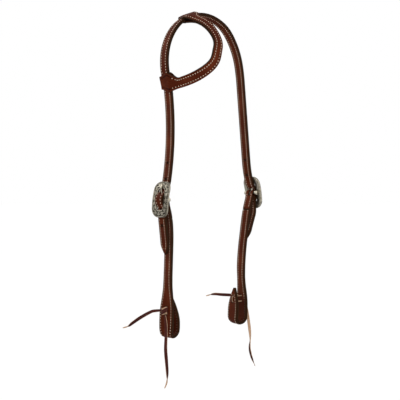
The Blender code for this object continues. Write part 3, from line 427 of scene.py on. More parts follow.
def strap_line(start, heading, bends):
    """A strap's middle line as distances, places (out, up) and headings in degrees below outward.
    The heading turns evenly along each bend, and the place is the running sum of its cosine
    outward and its sine downward."""
    lengths, turns = np.array(bends, float).T
    knots = np.concatenate(([0.0], np.cumsum(lengths)))
    headings = heading + np.concatenate(([0.0], np.cumsum(turns)))
    distance = np.linspace(0.0, knots[-1], int(knots[-1] / LINE_STEP) + 1)
    angle = np.radians(np.interp((distance[1:] + distance[:-1]) / 2, knots, headings))
    steps = np.stack((np.cos(angle), -np.sin(angle)), 1) * np.diff(distance)[:, None]
    place = np.array(start) + np.vstack((np.zeros(2), np.cumsum(steps, axis=0)))
    return distance, place, np.interp(distance, knots, headings)


def outward(heading):
    """The outward side (sin, cos) of a line with this heading, as (out, up)."""
    return np.stack((np.sin(np.radians(heading)), np.cos(np.radians(heading))), -1)


def tip_half(to_tip, length, width):
    """Half the width near a pointed end: nose + (rest)(1 - (1 - share)^1.6)."""
    share = np.clip(to_tip / length, 0.0, 1.0)
    return TIP_NOSE + (width / 2 - TIP_NOSE) * (1.0 - (1.0 - share) ** 1.6)


def strap_rows(start, end, spacing, holes, tips):
    """Where the grid's rows lie along a strap: even, closer towards a tip, and in thirteen rows
    across each hole and its surround."""
    rows = np.linspace(start, end, int((end - start) / spacing) + 1)
    closer = 1.0 - np.cos(np.linspace(0.0, np.pi / 2, 14))
    for tip, inward, length in tips:
        rows = rows[(rows - tip) * inward > length]
        rows = np.concatenate((rows, tip + inward * length * closer))
    for place, radius in holes:
        rows = rows[np.abs(rows - place) > 2 * radius + 0.3 * spacing]
        rows = np.concatenate((rows, place + np.linspace(-2 * radius, 2 * radius, 13)))
    return np.unique(rows)


def strap_columns(spacing):
    """Where the grid's columns lie across a strap, from -1 to 1: six cells of a third of the rows'
    spacing each side of the middle for the holes, and close ones at the rounded edge."""
    half = STRAP_WIDTH / 2
    cells = np.arange(1, HOLE_CELLS + 1) * spacing / 3
    side = np.concatenate((cells, half - np.array((0.0027, 0.0016, 0.0008, 0.00025, 0.0))))
    return np.concatenate((-side[::-1], [0.0], side)) / half


def punched_grid(rows, columns, half, holes):
    """Places (along, across) of a strap's grid, the distance to the nearest hole's rim, and the
    cells that stay. Ring number c of the grid round a hole is drawn onto a circle of radius
    c/3 of the hole's: the third ring is the rim, and the sixth keeps its square form."""
    along = np.repeat(rows[:, None], len(columns), axis=1)
    across = columns[None, :] * half(rows)[:, None]
    rim = np.ones(along.shape)
    keep = np.ones((len(rows) - 1, len(columns) - 1), bool)
    middle = len(columns) // 2
    around = slice(-HOLE_CELLS, HOLE_CELLS + 1)
    i, j = np.mgrid[around, around]
    ring = np.maximum(np.abs(i), np.abs(j))
    circle = ring / RIM_RING / np.maximum(np.hypot(i, j), 1)
    share = np.clip((ring - RIM_RING) / (HOLE_CELLS - RIM_RING), 0.0, 1.0)
    for place, radius in holes:
        row = int(np.argmin(np.abs(rows - place)))
        block = np.s_[row - HOLE_CELLS : row + HOLE_CELLS + 1, middle - HOLE_CELLS : middle + HOLE_CELLS + 1]
        along[block] = (1 - share) * (place + i * circle * radius) + share * along[block]
        across[block] = (1 - share) * j * circle * radius + share * across[block]
        rim[block] = np.hypot(along[block] - place, across[block]) - radius
        keep[row - RIM_RING : row + RIM_RING, middle - RIM_RING : middle + RIM_RING] = False
    return along, across, rim, keep


def rounding(distance, radius):
    """How far a rounded edge falls at a distance inside it: radius - sqrt(radius^2 - rest^2)."""
    rest = np.clip(radius - distance, 0.0, radius)
    return radius - np.sqrt(radius**2 - rest**2)


def leather_sheet(inner, outer, keep, margin, rim, along, row):
    """A leather ply between its inner and outer face: both faces of the cells that stay, rounded
    at their edges, and a wall wherever a cell that stays meets none."""
    margin = np.maximum(margin, 0.0)
    fall, tuck = (
        np.maximum(rounding(margin, edge), rounding(rim, hole))[..., None] / PLY
        for edge, hole in (FACE_ROUNDING, BACK_ROUNDING)
    )
    through = outer - inner
    inner, outer = inner + through * tuck, outer - through * fall
    size = margin.size
    number = np.arange(size).reshape(margin.shape)
    a, b, c, d = number[:-1, :-1], number[1:, :-1], number[1:, 1:], number[:-1, 1:]
    faces = [np.stack((a, d, c, b), -1)[keep], np.stack((a, b, c, d), -1)[keep] + size]
    padded = np.pad(keep, 1)
    sides = ((a, b, padded[1:-1, :-2]), (c, d, padded[1:-1, 2:]), (d, a, padded[:-2, 1:-1]), (b, c, padded[2:, 1:-1]))
    for first, second, beyond in sides:
        p, q = first[keep & ~beyond], second[keep & ~beyond]
        faces.append(np.stack((p, q, q + size, p + size), -1))
    used, faces = np.unique(np.vstack(faces), return_inverse=True)
    points = np.vstack((inner.reshape(-1, 3), outer.reshape(-1, 3)))[used]
    edge = np.clip(1.0 - np.minimum(margin, rim) / DYED_WIDTH, 0.0, 1.0)
    values = {"edge": edge, "along": along, "row": row}
    values = {name: np.broadcast_to(numbers, margin.shape).ravel()[used % size] for name, numbers in values.items()}
    return points, faces.reshape(-1, 4).tolist(), values


def stitch_places(start, end):
    """The middles of the stitches between two lengths, at whole pitches plus a half."""
    return np.arange(start, end, STITCH_PITCH) // STITCH_PITCH * STITCH_PITCH + STITCH_PITCH / 2


def sewn_rows(surface, along, half, sign, painted_shade=0.0):
    """Two rows of thread stitches on a surface, half to each side of its middle. Each stitch is a
    six-sided tube bent down at its ends: its point (x, y, z) lies at place + x t + y b + z n, with
    t along the row, n out of the leather, and z falling with the sixth power of x."""
    x = np.repeat(np.linspace(-1.0, 1.0, 5), 6)
    angle = np.tile(np.arange(6) * np.pi / 3, 5)
    slim = STITCH_RADIUS * (1.0 - 0.25 * np.abs(x) ** 3)
    sunk = STITCH_RADIUS - STITCH_RISE + STITCH_BEND * x**6
    template = np.stack((x * STITCH_LENGTH / 2, np.cos(angle) * slim, np.sin(angle) * slim - sunk), 1)
    tube, size = carried_faces(5, 6), len(x)
    faces = [[corner + size * k for corner in face] for k in range(len(along)) for face in tube]
    twist = np.tile(x * STITCH_LENGTH / 2 / TWIST_PITCH + angle / (2 * np.pi), len(along))
    # Painted shade on the stitches: 1 where they lie in the shade inside a bit loop
    painted_shade = np.repeat(np.broadcast_to(painted_shade, len(along)), size)
    rows = []
    for hand in (-1, 1):
        here, ahead, beside = (
            surface(along + on, hand * half(along + on) + over) for on, over in ((0, 0), (NUDGE, 0), (0, NUDGE))
        )
        tangent = unit(ahead - here)
        normal = unit(np.cross(ahead - here, beside - here)) * sign
        lean = np.cross(normal, tangent)
        tangent, lean = unit(tangent + STITCH_LEAN * lean), unit(lean - STITCH_LEAN * tangent)
        points = here[:, None] + np.einsum("vk,nkc->nvc", template, np.stack((tangent, lean, normal), 1))
        rows.append((points.reshape(-1, 3), faces, {"twist": twist, "painted_shade": painted_shade}))
    return rows


def channel_group():
    """The sunk channel under a row of stitches (row is 1 there), with a dimple and a swell at each needle hole, and
    painted shade that darkens the channel, most at each hole."""
    sockets = (("Colour", "Color"), ("Height", "Float"))
    tree, given, result = new_group("stitch_channel", sockets, sockets)
    away = sum_of(tree, "SUBTRACT", sum_of(tree, "ABSOLUTE", read_value(tree, "row")), 1.0)
    away = sum_of(tree, "ABSOLUTE", away)
    phase = sum_of(tree, "MULTIPLY", read_value(tree, "along"), 2 * np.pi / STITCH_PITCH)
    needle = span(tree, sum_of(tree, "COSINE", phase), 0.55, 1.0)
    channel = span(tree, away, 0.0, 0.17, 1.0, 0.0)
    sunk = sum_of(tree, "MULTIPLY", channel, sum_of(tree, "MULTIPLY_ADD", needle, 1.6, 1.0))
    beside = span(tree, away, 0.12, 0.42, 1.0, 0.0)
    swell = sum_of(tree, "MULTIPLY", beside, sum_of(tree, "MULTIPLY", needle, -0.6))
    height = sum_of(tree, "ADD", sum_of(tree, "MULTIPLY_ADD", sunk, -1.3, given["Height"]), swell)
    # Painted shade: the channel and its needle holes are darkened as if in shadow
    shade = blend_colour(tree, sum_of(tree, "MINIMUM", sunk, 1.0), WHITE, (0.30, 0.25, 0.23, 1.0))
    colour = blend_colour(tree, 1.0, given["Colour"], shade, "MULTIPLY")
    return finish_group(tree, result, Colour=colour, Height=height)


def edge_group():
    """Dyed and burnished edges: where edge nears 1 the colour goes to the dye's, unevenly."""
    inputs, outputs = (("Colour", "Color"), ("Dye", "Color")), (("Colour", "Color"), ("Mask", "Float"))
    tree, given, result = new_group("edge_dye", inputs, outputs)
    uneven = sum_of(tree, "SUBTRACT", noise(tree, 420.0, 3.0), 0.5)
    reach = sum_of(tree, "MULTIPLY_ADD", uneven, 0.7, read_value(tree, "edge"))
    mask = span(tree, reach, 0.12, 0.62)
    return finish_group(tree, result, Colour=blend_colour(tree, mask, given["Colour"], given["Dye"]), Mask=mask)


CHANNEL = channel_group()
DYED_EDGE = edge_group()


def leather_material(name, colour, worn, pebbles, gloss):
    """Oiled harness leather: grain, stitch channels and dyed edges, with hardly any shine."""
    material, tree, shader = new_material(name)
    grain = grain_of(tree, colour, worn, pebbles, gloss)
    sewn = {"Colour": grain["Colour"], "Height": grain["Height"]}
    sewn = wire(tree, "Group", sewn, node_tree=CHANNEL).outputs
    dyed = wire(tree, "Group", {"Colour": sewn["Colour"], "Dye": EDGE_DYE}, node_tree=DYED_EDGE).outputs
    rough = sum_of(tree, "MULTIPLY_ADD", dyed["Mask"], -0.10, grain["Roughness"])
    finish_shader(tree, shader, dyed["Colour"], rough, sewn["Height"], 0.00022, 0.55)
    shader.inputs["Specular IOR Level"].default_value = LEATHER_SHINE
    return material


def thread_material():
    """Waxed cream thread, with painted shade in the grooves of its twist, and painted shade that darkens it where its
    shade value is 1, inside the bit loop.
    """
    material, tree, shader = new_material("cream_thread")
    twist = sum_of(tree, "SINE", sum_of(tree, "MULTIPLY", read_value(tree, "twist"), 2 * np.pi))
    soil = noise(tree, 70.0, 3.0)
    colour = blend_colour(tree, span(tree, soil, 0.42, 0.72), THREAD, THREAD_SOILED)
    # Painted shade: the grooves of the twist are darkened
    shade = blend_colour(tree, span(tree, twist, -1.0, 0.2), (0.55, 0.5, 0.46, 1.0), WHITE)
    colour = blend_colour(tree, 1.0, colour, shade, "MULTIPLY")
    # Painted shade: the thread goes dark where it lies inside the bit loop
    colour = blend_colour(tree, read_value(tree, "painted_shade"), colour, THREAD_IN_SHADE)
    rough = sum_of(tree, "MULTIPLY_ADD", soil, 0.3, 0.5)
    finish_shader(tree, shader, colour, rough, twist, 0.00012, 0.6)
    return material


GRAIN_LEATHER = leather_material("strap_leather", LEATHER, LEATHER_WORN, 900.0, 0.14)
LINING_LEATHER = leather_material("lining_leather", LINING, LINING_WORN, 1200.0, 0.06)
STITCHES = thread_material()

CROWN_START = (0.0, HALF_STRAP)
crown_right = strap_line(CROWN_START, 0.0, CROWN_BENDS_RIGHT)
crown_left = strap_line(CROWN_START, 0.0, CROWN_BENDS_LEFT)
# One line over both sides: right distances count as negative
crown_along = np.concatenate((-crown_right[0][::-1], crown_left[0][1:]))
crown_place = np.vstack((crown_right[1][::-1] * (-1, 1), crown_left[1][1:]))
crown_side = np.vstack((outward(crown_right[2])[::-1] * (-1, 1), outward(crown_left[2])[1:]))


def crown_half(along):
    """Half the crown's width, less at the billets' points."""
    to_tip = np.minimum(along - crown_along[0], crown_along[-1] - along)
    return tip_half(to_tip, TIP_LENGTH, STRAP_WIDTH)


def crown_row(along):
    """How far from its middle the crown's stitches lie."""
    return crown_half(along) - ROW_INSET


def crown_point(along, across, off):
    """A point of the crown: its middle line's place plus the distance off it on its outer side."""
    place = read_at(along, crown_along, crown_place + off * crown_side)
    return np.stack((place[..., 0], across, place[..., 1]), -1)


# Each bar's place (out, up), and by how many degrees the buckle's top leans inward
BUCKLES = {
    "right": {"sign": -1, "tilt": 8.0, "bar": (0.087027, -0.293093)},
    "left": {"sign": 1, "tilt": 10.0, "bar": (0.110254, -0.280893)},
}
# Where the tongue's shank leaves its eye: out of the bar, and up the frame
TONGUE_START = (0.00129, 0.00243)
FRAME_WIDTH, FRAME_HEIGHT, FRAME_THICKNESS = 0.0355, 0.055, 0.0036
WINDOW_WIDTH, WINDOW_HEIGHT = 0.0176, 0.0355
RAIL_INNER, FRAME_BEND = 0.0033, 0.118299
BAR_RADIUS = 0.0019
TONGUE_THICKNESS = 0.002


def frame_face(height):
    """How far out of the bar the buckle's face lies: rail - height^2 / (2 bend)."""
    return RAIL_INNER + FRAME_THICKNESS - height**2 / (2 * FRAME_BEND)


TONGUE_EDGE = (frame_face(WINDOW_HEIGHT / 2) + GAP + TONGUE_THICKNESS / 2, WINDOW_HEIGHT / 2)


def on_buckle(side, out, high):
    """A place (out of the face, up the frame) of a buckle, as (out, up) of the headstall."""
    tilt = np.radians(BUCKLES[side]["tilt"])
    bar_out, bar_up = BUCKLES[side]["bar"]
    out, high = np.asarray(out), np.asarray(high)
    turned = out * np.cos(tilt) - high * np.sin(tilt), out * np.sin(tilt) + high * np.cos(tilt)
    return np.stack((bar_out + turned[0], bar_up + turned[1]), -1)


def used_hole(side, off):
    """Where the tongue's straight shank passes a ply that lies this far off the crown's line."""
    distance, place, heading = crown_right if side == "right" else crown_left
    start, edge = on_buckle(side, *TONGUE_START), on_buckle(side, *TONGUE_EDGE)
    shank = edge - start
    rest = place + outward(heading) * off - start
    past = np.abs(shank[0] * rest[:, 1] - shank[1] * rest[:, 0])
    near = np.abs(distance - USED_HOLES[side]) < 0.012
    return float(distance[near][np.argmin(past[near])])


def crown_ply(name, inner, outer, material, nodes, slot):
    """One ply of the crown, between two distances off its line."""
    holes = []
    for side, sign in (("right", -1), ("left", 1)):
        holes.append((sign * used_hole(side, (inner + outer) / 2), USED_HOLE_RADIUS))
        holes += [(sign * (USED_HOLES[side] + place * HOLE_PITCH), HOLE_RADIUS) for place in (-2, -1, 1, 2)]
    first, last = crown_along[0], crown_along[-1]
    rows = strap_rows(first, last, CROWN_SPACING, holes, ((first, 1, TIP_LENGTH), (last, -1, TIP_LENGTH)))
    along, across, rim, keep = punched_grid(rows, strap_columns(CROWN_SPACING), crown_half, holes)
    margin = np.minimum(crown_half(along) - np.abs(across), np.minimum(along - first, last - along))
    row = across / np.maximum(crown_row(along), NUDGE)
    faces = [crown_point(along, across, off) for off in (inner, outer)]
    make_piece(name, leather_sheet(*faces, keep, margin, rim, along, row), material, "crown", nodes, slot)


crown_ply("crown_strap_grain", GAP / 2, HALF_STRAP, GRAIN_LEATHER, ("crown_outer",), "leather")
crown_ply("crown_strap_lining", -GAP / 2, -HALF_STRAP, LINING_LEATHER, ("crown_lining",), "lining")

crown_stitches = stitch_places(crown_along[0] + CROWN_UNSEWN, crown_along[-1] - CROWN_UNSEWN)
crown_rows = []
for face, sign in ((HALF_STRAP, 1), (-HALF_STRAP, -1)):

    def crown_surface(along, across, face=face):
        """A point of the crown's sewn face."""
        return crown_point(along, across, face)

    crown_rows += sewn_rows(crown_surface, crown_stitches, crown_row, sign)
make_piece("crown_stitching", joined(crown_rows), STITCHES, "crown")

# ---------------------------------------------------------------------------------------------
# Ear loop: a sewn band that goes forward round the horse's right ear. Each end widens into a tab
# that is folded round the crown strap, so that the loop can slide along it.
CROWN_RADIUS = 0.0845
BALL_RADIUS = float(np.hypot(CROWN_RADIUS, STRAP_WIDTH / 2))
BALL_CENTRE = np.array((0.0, 0.0, HALF_STRAP - CROWN_RADIUS))
# The loop's oval on the ball, in degrees: middle and span round the crown, reach forward, and
# the roll of the band towards the ear
EAR_MIDDLE, EAR_SPAN, EAR_REACH, EAR_ROLL = 74.0, 41.0, 58.6, 28.0
# Each pair is for the loop's upper and lower half: roundness, how far forward the inner leaf
# ends, the length over which the leaves close, where the tab's taper ends, and the fold's depth
EAR_ROUNDNESS = (2.5, 3.3)
LEAF_ENDS = (29.0, 17.0)
CLOSE_LENGTHS = (0.030, 0.013)
TAPER_ENDS = (19.0, 14.0)
FOLD_DEPTHS = (0.6, 1.0)
# Rear and front edge of each tab: angle round the crown, and width
TAB_REAR = ((19.4, 0.041), (111.0, -0.0187))
TAB_FRONT = ((28.5, 0.028), (111.5, -0.027))
BAND_STEPS = 26
TAB_ROWS = 4
EAR_ROW_INSET = 0.0037
ARC_LENGTH = 0.21
RIM_EDGE = float(np.degrees(np.arcsin(STRAP_WIDTH / 2 / BALL_RADIUS)))


def ear_direction(angle, forward):
    """The unit direction from the ball's centre at an angle round the crown and one forward."""
    angle, forward = np.radians(angle), np.radians(forward)
    return np.stack((-np.sin(angle) * np.cos(forward), -np.sin(forward), np.cos(angle) * np.cos(forward)), -1)


def ear_path():
    """The band's middle line on the ball, as even (angle, forward) in degrees. Its two halves are
    quarters of a rounded oval: span times cos^(2/n) and reach times sin^(2/n), drawn towards
    the tabs at the crown's edge."""
    t = np.linspace(0.0, np.pi, 3000)
    upper = t < np.pi / 2
    power = 2 / np.where(upper, *EAR_ROUNDNESS)
    shift = np.where(upper, TAB_FRONT[0][0] + EAR_SPAN, TAB_FRONT[1][0] - EAR_SPAN) - EAR_MIDDLE
    forward = EAR_REACH * np.sin(t) ** power
    fade = 1.0 - ease((forward - RIM_EDGE) / (np.where(upper, *TAPER_ENDS) - RIM_EDGE))
    angle = EAR_MIDDLE - EAR_SPAN * squared_up(np.cos(t), power) + shift * fade
    used = forward >= 2 * RIM_EDGE
    angle, forward = angle[used], forward[used]
    along = lengths_along(ear_direction(angle, forward))
    return read_at(np.linspace(0.0, along[-1], BAND_STEPS + 1), along, np.stack((angle, forward), 1)).T


def step_ahead(values):
    """Each value plus the difference of its two neighbours."""
    padded = np.concatenate((values[:1], values, values[-1:]))
    return values + (padded[2:] - padded[:-2])


band_angle, band_forward = ear_path()
first_half = np.arange(len(band_angle)) < len(band_angle) / 2
tab_width = np.where(first_half, TAB_FRONT[0][1], -TAB_FRONT[1][1])
taper = ease((band_forward - RIM_EDGE) / (np.where(first_half, *TAPER_ENDS) - RIM_EDGE))
band_width = tab_width + (STRAP_WIDTH - tab_width) * taper
band_roll = np.radians(EAR_ROLL * ease((band_forward - LEAF_ENDS[1]) / (EAR_REACH - LEAF_ENDS[1])))
tab_share = np.arange(TAB_ROWS + 1) / TAB_ROWS
ear_forward = np.concatenate((tab_share * 0, band_forward, tab_share * 0))
STATIONS = len(ear_forward)
LAST = STATIONS - 1


def mixed(pair, share):
    """The values of a tab between its rear and front edge."""
    rear, front = np.array(pair)
    return rear + (front - rear) * share[:, None]


top_tab = mixed((TAB_REAR[0], TAB_FRONT[0]), tab_share)
low_tab = mixed((TAB_REAR[1], TAB_FRONT[1]), tab_share)[::-1]
ear_width = np.concatenate((np.abs(top_tab[:, 1]), band_width, np.abs(low_tab[:, 1])))


def tab_lines(tab, across, share):
    """Base points and radial directions of a tab: on the crown's arc, turned by share times half
    the width over the radius, and moved across the crown."""
    turned = tab[:, :1] + np.degrees(share * tab[:, 1:] / 2 / CROWN_RADIUS)
    radial = ear_direction(turned, 0.0 * turned)
    return radial * CROWN_RADIUS + across[:, None, None] * np.array((0.0, 1.0, 0.0)), radial


def ear_stations(share):
    """Base points and radial directions of all the loop's lines, at shares -1 to 1 of their width.
    The band's lines are square to its path on the ball, and rolled in towards the ear."""
    share = np.broadcast_to(share, (STATIONS, np.shape(share)[-1]))
    tab_across = STRAP_WIDTH * (0.5 - tab_share)
    top = tab_lines(top_tab, tab_across, share[: TAB_ROWS + 1])
    low = tab_lines(low_tab, tab_across[::-1], share[-TAB_ROWS - 1 :])
    middle = share[TAB_ROWS + 1 : -TAB_ROWS - 1, :, None] * band_width[:, None, None] / 2
    direction = ear_direction(band_angle, band_forward)
    ahead = ear_direction(step_ahead(band_angle), step_ahead(band_forward))
    sideways = unit(np.cross(ahead - direction, direction))[:, None]
    direction = direction[:, None]
    turn = middle / BALL_RADIUS
    roll = band_roll[:, None, None]
    flat = direction * np.cos(turn) + sideways * np.sin(turn)
    base = flat * BALL_RADIUS + direction * middle * np.sin(roll) - sideways * middle * (1.0 - np.cos(roll))
    radial = flat * np.cos(roll) - sideways * np.sin(roll)
    return np.concatenate((top[0], base, low[0])), np.concatenate((top[1], radial, low[1]))


# The crown's outer face as the loop meets it: angle round the arc, and distance from its centre
crown_face = crown_right[1] + outward(crown_right[2]) * HALF_STRAP - (0.0, BALL_CENTRE[2])
crown_face = crown_face[: int(ARC_LENGTH / LINE_STEP)]
face_angle = np.degrees(np.arctan2(crown_face[:, 0], crown_face[:, 1]))
face_reach = np.hypot(crown_face[:, 0], crown_face[:, 1])


def ear_points(share, index, turn, face):
    """Points of the loop at line numbers and shares of the width. The outer leaf has turn 0 and
    the inner leaf turn pi; between them the fold goes round the crown's rear edge. A point is
    base + rear (depth reach sin turn) + radial (reach cos turn + lift), where the reach closes
    from the crown's half thickness to half a gap ahead of the crown."""
    base, radial = (between(lines, index) for lines in ear_stations(share))
    turn = turn[:, None, None]
    upper = (index < LAST / 2)[:, None, None]
    wrap = HALF_STRAP + GAP
    ahead = ease((-base[..., 1:2] - STRAP_WIDTH / 2) / np.where(upper, *CLOSE_LENGTHS))
    reach = wrap + (GAP / 2 - wrap) * ahead + face * PLY
    angle = np.degrees(np.arctan2(-base[..., :1], base[..., 2:]))
    lift = np.interp(angle, face_angle, face_reach) - CROWN_RADIUS - HALF_STRAP
    lift = np.maximum(lift, 0.0) * (1.0 - ahead) * (1.0 + np.cos(turn)) / 2
    rear = np.array((0.0, 1.0, 0.0)) * np.where(upper, *FOLD_DEPTHS) * reach * np.sin(turn)
    return BALL_CENTRE + base + rear + radial * (reach * np.cos(turn) + lift)


top_end = int(np.argmax(ear_forward > LEAF_ENDS[0]))
low_end = LAST - int(np.argmax(ear_forward[::-1] > LEAF_ENDS[1]))
FOLD = np.linspace(0.0, np.pi, 13)[1:-1]
# The outer ply as runs of line numbers and turns: inner leaf, fold, outer leaf, fold, inner leaf
RUNS = (
    (np.arange(top_end, 0, -0.25), np.pi),
    (0 * FOLD, FOLD[::-1]),
    (np.arange(0, LAST + 0.01, 0.25), 0),
    (0 * FOLD + LAST, FOLD),
    (np.arange(LAST, low_end - 0.01, -0.25), np.pi),
)
ear_share = np.sort(np.concatenate((np.linspace(-1.0, 1.0, 17), (-0.96, -0.90, 0.90, 0.96))))
ear_numbers = np.arange(STATIONS)


def ear_ply(name, index, turn, material, node, slot):
    """One ply of the ear loop over the given lines and turns, between its two faces."""
    inner, outer = (ear_points(ear_share, index, turn, face) for face in (0, 1))
    width = np.interp(index, ear_numbers, ear_width)[:, None]
    along = lengths_along(outer[:, len(ear_share) // 2])[:, None]
    margin = np.minimum((1.0 - np.abs(ear_share)) * width / 2, np.minimum(along, along[-1] - along))
    row = ear_share * width / 2 / (width / 2 - EAR_ROW_INSET)
    keep = np.ones((len(index) - 1, len(ear_share) - 1), bool)
    shape = leather_sheet(inner, outer, keep, margin, 1.0, along, row)
    make_piece(name, shape, material, "ear_loop", (node,), slot)


loop_index = np.concatenate([index for index, _ in RUNS])
loop_turn = np.concatenate([0 * index + turn for index, turn in RUNS])
ear_ply("ear_loop_grain", loop_index, loop_turn, GRAIN_LEATHER, "ear_outer", "leather")
lining_index = np.linspace(top_end + 0.08, low_end - 0.08, 4 * (low_end - top_end) + 1)
ear_ply("ear_loop_lining", lining_index, 0 * lining_index + np.pi, LINING_LEATHER, "ear_lining", "lining")

ear_length = lengths_along(ear_stations(np.zeros(1))[0][:, 0])


def ear_row(along):
    """How far from its middle the ear loop's stitches lie."""
    return np.interp(along, ear_length, ear_width) / 2 - EAR_ROW_INSET


# The stitches start just past the tabs, and on the inner face just past the lining's ends
ear_rows = []
for turn, first, last, sign in ((0.0, 4.6, LAST - 4.7, -1), (np.pi, top_end + 1.2, low_end - 1.2, 1)):

    def ear_surface(along, across, turn=turn):
        """The loop's sewn face, at a length along it and a distance across."""
        index = np.interp(along, ear_length, ear_numbers)
        width = np.interp(index, ear_numbers, ear_width)
        share = np.array([np.interp(ear_numbers, index, across * 2 / width)]).T
        return ear_points(share, index, 0 * index + turn, 1.0)[:, 0]

    places = np.arange(*np.interp((first, last), ear_numbers, ear_length), STITCH_PITCH)
    ear_rows += sewn_rows(ear_surface, places, ear_row, sign)
make_piece("ear_loop_stitching", joined(ear_rows), STITCHES, "ear_loop")

# ---------------------------------------------------------------------------------------------
# Cheek straps: the outer ply wraps the buckle's bar and turns back, and both plies widen below,
# turn up into the bit loop and end in a point. Sewn like the crown, with two holes for the lace.
WRAP = BAR_RADIUS + GAP
TURN_BACK = 0.031
CLOSE_LENGTH = 0.014
LOOP_WIDTH = 0.025
LEAF_LENGTH, LEAF_SPREAD = 0.049, 3.0
LEAF_TIP_LENGTH = 0.035
FLARE_START, FLARE_END = 0.085, 0.038
FOLD_NARROWING, FOLD_REACH = 0.28, 0.0105
LOOP_ROW_INSET = 0.0025
LACE_HOLE_RADIUS = 0.0022
LACE_HOLE_SPACING = 0.0095
TIE_HEIGHT = 0.040
SLOT_DEPTH = 0.00375
LOOP_TWIST, TWIST_START, TWIST_END = 11.0, 0.100, 0.052
CHEEK_SPACING = 0.0019
# The thread is painted dark over this length from the leaf's point: painted shade for the inside of the bit loop
SHADED_LENGTH, SHADED_FADE = 0.118, 0.012
# Lengths left unsewn: at each ply's start, at the leaf's point and next to the bar
TURN_BACK_UNSEWN, LINING_UNSEWN, LEAF_UNSEWN, BAR_UNSEWN = 0.004, 0.003, 0.007, 0.009
# Each strap leaves its bar at one heading and meets the billet's tip (contact) at another, and
# goes on in even runs (length, turn). Last come the fold's radius and the loop's middle and floor.
CHEEKS = {
    "right": {
        **BUCKLES["right"], "leave": 120.0, "contact": (0.075920, -0.375775),
        "heading": 88.0, "distance": 0.084559, "runs": ((0.0567, -1), (0.026, -3), (0.036, 7)),
        "radius": 0.0080, "middle": 0.0740036, "floor": -0.5020420,
    },
    "left": {
        **BUCKLES["left"], "leave": 118.0, "contact": (0.090085, -0.359402),
        "heading": 100.0, "distance": 0.081434, "runs": ((0.0598, -9), (0.026, -5), (0.046, 7)),
        "radius": 0.0094, "middle": 0.0760536, "floor": -0.4996558,
    },
}


def cheek_line(cheek):
    """The cheek strap's middle line: a cubic from the bar to the billet's tip, which leaves and
    arrives on its headings with the chord's length as reach, and then even bends to the leaf."""
    start, end = np.array(cheek["bar"]), np.array(cheek["contact"])
    angles = np.radians((cheek["leave"], cheek["heading"]))
    reach = np.linalg.norm(end - start)
    leave, arrive = (reach * np.array((np.cos(angle), -np.sin(angle))) for angle in angles)
    t = np.linspace(0.0, 1.0, 420)[:, None]
    place = (2 * t**3 - 3 * t**2 + 1) * start + (t**3 - 2 * t**2 + t) * leave
    place += (3 * t**2 - 2 * t**3) * end + (t**3 - t**2) * arrive
    slope = (6 * t**2 - 6 * t) * (start - end) + (3 * t**2 - 4 * t + 1) * leave + (3 * t**2 - 2 * t) * arrive
    heading = np.degrees(np.arctan2(-slope[:, 1], slope[:, 0])) % 360.0
    distance = lengths_along(place)
    distance *= cheek["distance"] / distance[-1]
    bends = (*cheek["runs"], (np.pi * cheek["radius"], 180.0), (LEAF_LENGTH, LEAF_SPREAD))
    rest = strap_line(end, cheek["heading"], bends)
    return (
        np.concatenate((distance, rest[0][1:] + distance[-1])),
        np.vstack((place, rest[1][1:])),
        np.concatenate((heading, rest[2][1:])),
    )


def cheek_half(cheek, distance):
    """Half the cheek strap's width: it widens above the bit loop, narrows again at the fold, by a
    bell curve, and the leaf ends in a point."""
    bottom = cheek["bottom"]
    share = (FLARE_START - (bottom - distance)) / (FLARE_START - FLARE_END)
    flare = STRAP_WIDTH + (LOOP_WIDTH - STRAP_WIDTH) * ease(share)
    leaf = tip_half(cheek["end"] - distance, LEAF_TIP_LENGTH, LOOP_WIDTH)
    bell = np.exp(-(((distance - bottom) / FOLD_REACH) ** 2))
    return np.where(distance > bottom, leaf, flare / 2) * (1.0 - FOLD_NARROWING * bell)


def cheek_row(cheek, distance):
    """How far from its middle the cheek strap's stitches lie: nearer to the edge on the loop."""
    to_end = cheek["end"] - distance
    return cheek_half(cheek, distance) - np.interp(to_end, (0.110, 0.160), (LOOP_ROW_INSET, ROW_INSET))


def cheek_point(cheek, place, across):
    """A place (out, up) and a distance across, turned about the loop's middle: the foot twists
    its outer face forward."""
    height = place[..., 1] - cheek["floor"]
    angle = np.radians(LOOP_TWIST * ease((TWIST_START - height) / (TWIST_START - TWIST_END)))
    out = place[..., 0] - cheek["middle"]
    turned = cheek["middle"] + out * np.cos(angle) + across * np.sin(angle)
    return np.stack((cheek["sign"] * turned, across * np.cos(angle) - out * np.sin(angle), place[..., 1]), -1)


def outer_ply(cheek):
    """The outer ply's inner and outer face lines, from the end of its turn-back round the bar and
    down: the faces open from half a gap to the bar's wrap as they near the bar."""
    distance, place, heading = cheek["line"]
    side = outward(heading)
    opening = (GAP / 2 + (WRAP - GAP / 2) * (1.0 - ease(distance / CLOSE_LENGTH)))[:, None]
    back = distance <= TURN_BACK
    turned = [(place - side * (opening + face * PLY))[back][::-1] for face in (0, 1)]
    leave = np.radians(heading[0])
    up, flank = -np.array((np.cos(leave), -np.sin(leave))), side[0]
    angle = np.linspace(0.0, np.pi, 60)[1:-1, None]
    way = up * np.sin(angle) - flank * np.cos(angle)
    wrapped = [np.array(cheek["bar"]) + way * (WRAP + face * PLY) for face in (0, 1)]
    front = [place + side * (opening + face * PLY) for face in (0, 1)]
    inner, outer = (np.vstack((turned[k], wrapped[k], front[k])) for k in (0, 1))
    places = np.concatenate((distance[back][::-1], angle[:, 0] * 0, distance))
    return inner, outer, places


def loop_holes(cheek, lay, places, line):
    """Lengths along a ply at which the lace's two holes go through the strap and its leaf."""
    holes = []
    for leaf in (False, True):
        near = ((places > cheek["bottom"]) == leaf) & (places > cheek["bottom"] - 0.09)
        for hand in (-1, 1):
            height = cheek["floor"] + TIE_HEIGHT + hand * LACE_HOLE_SPACING / 2
            holes.append((float(lay[near][np.argmin(np.abs(line[near, 1] - height))]), LACE_HOLE_RADIUS))
    return holes


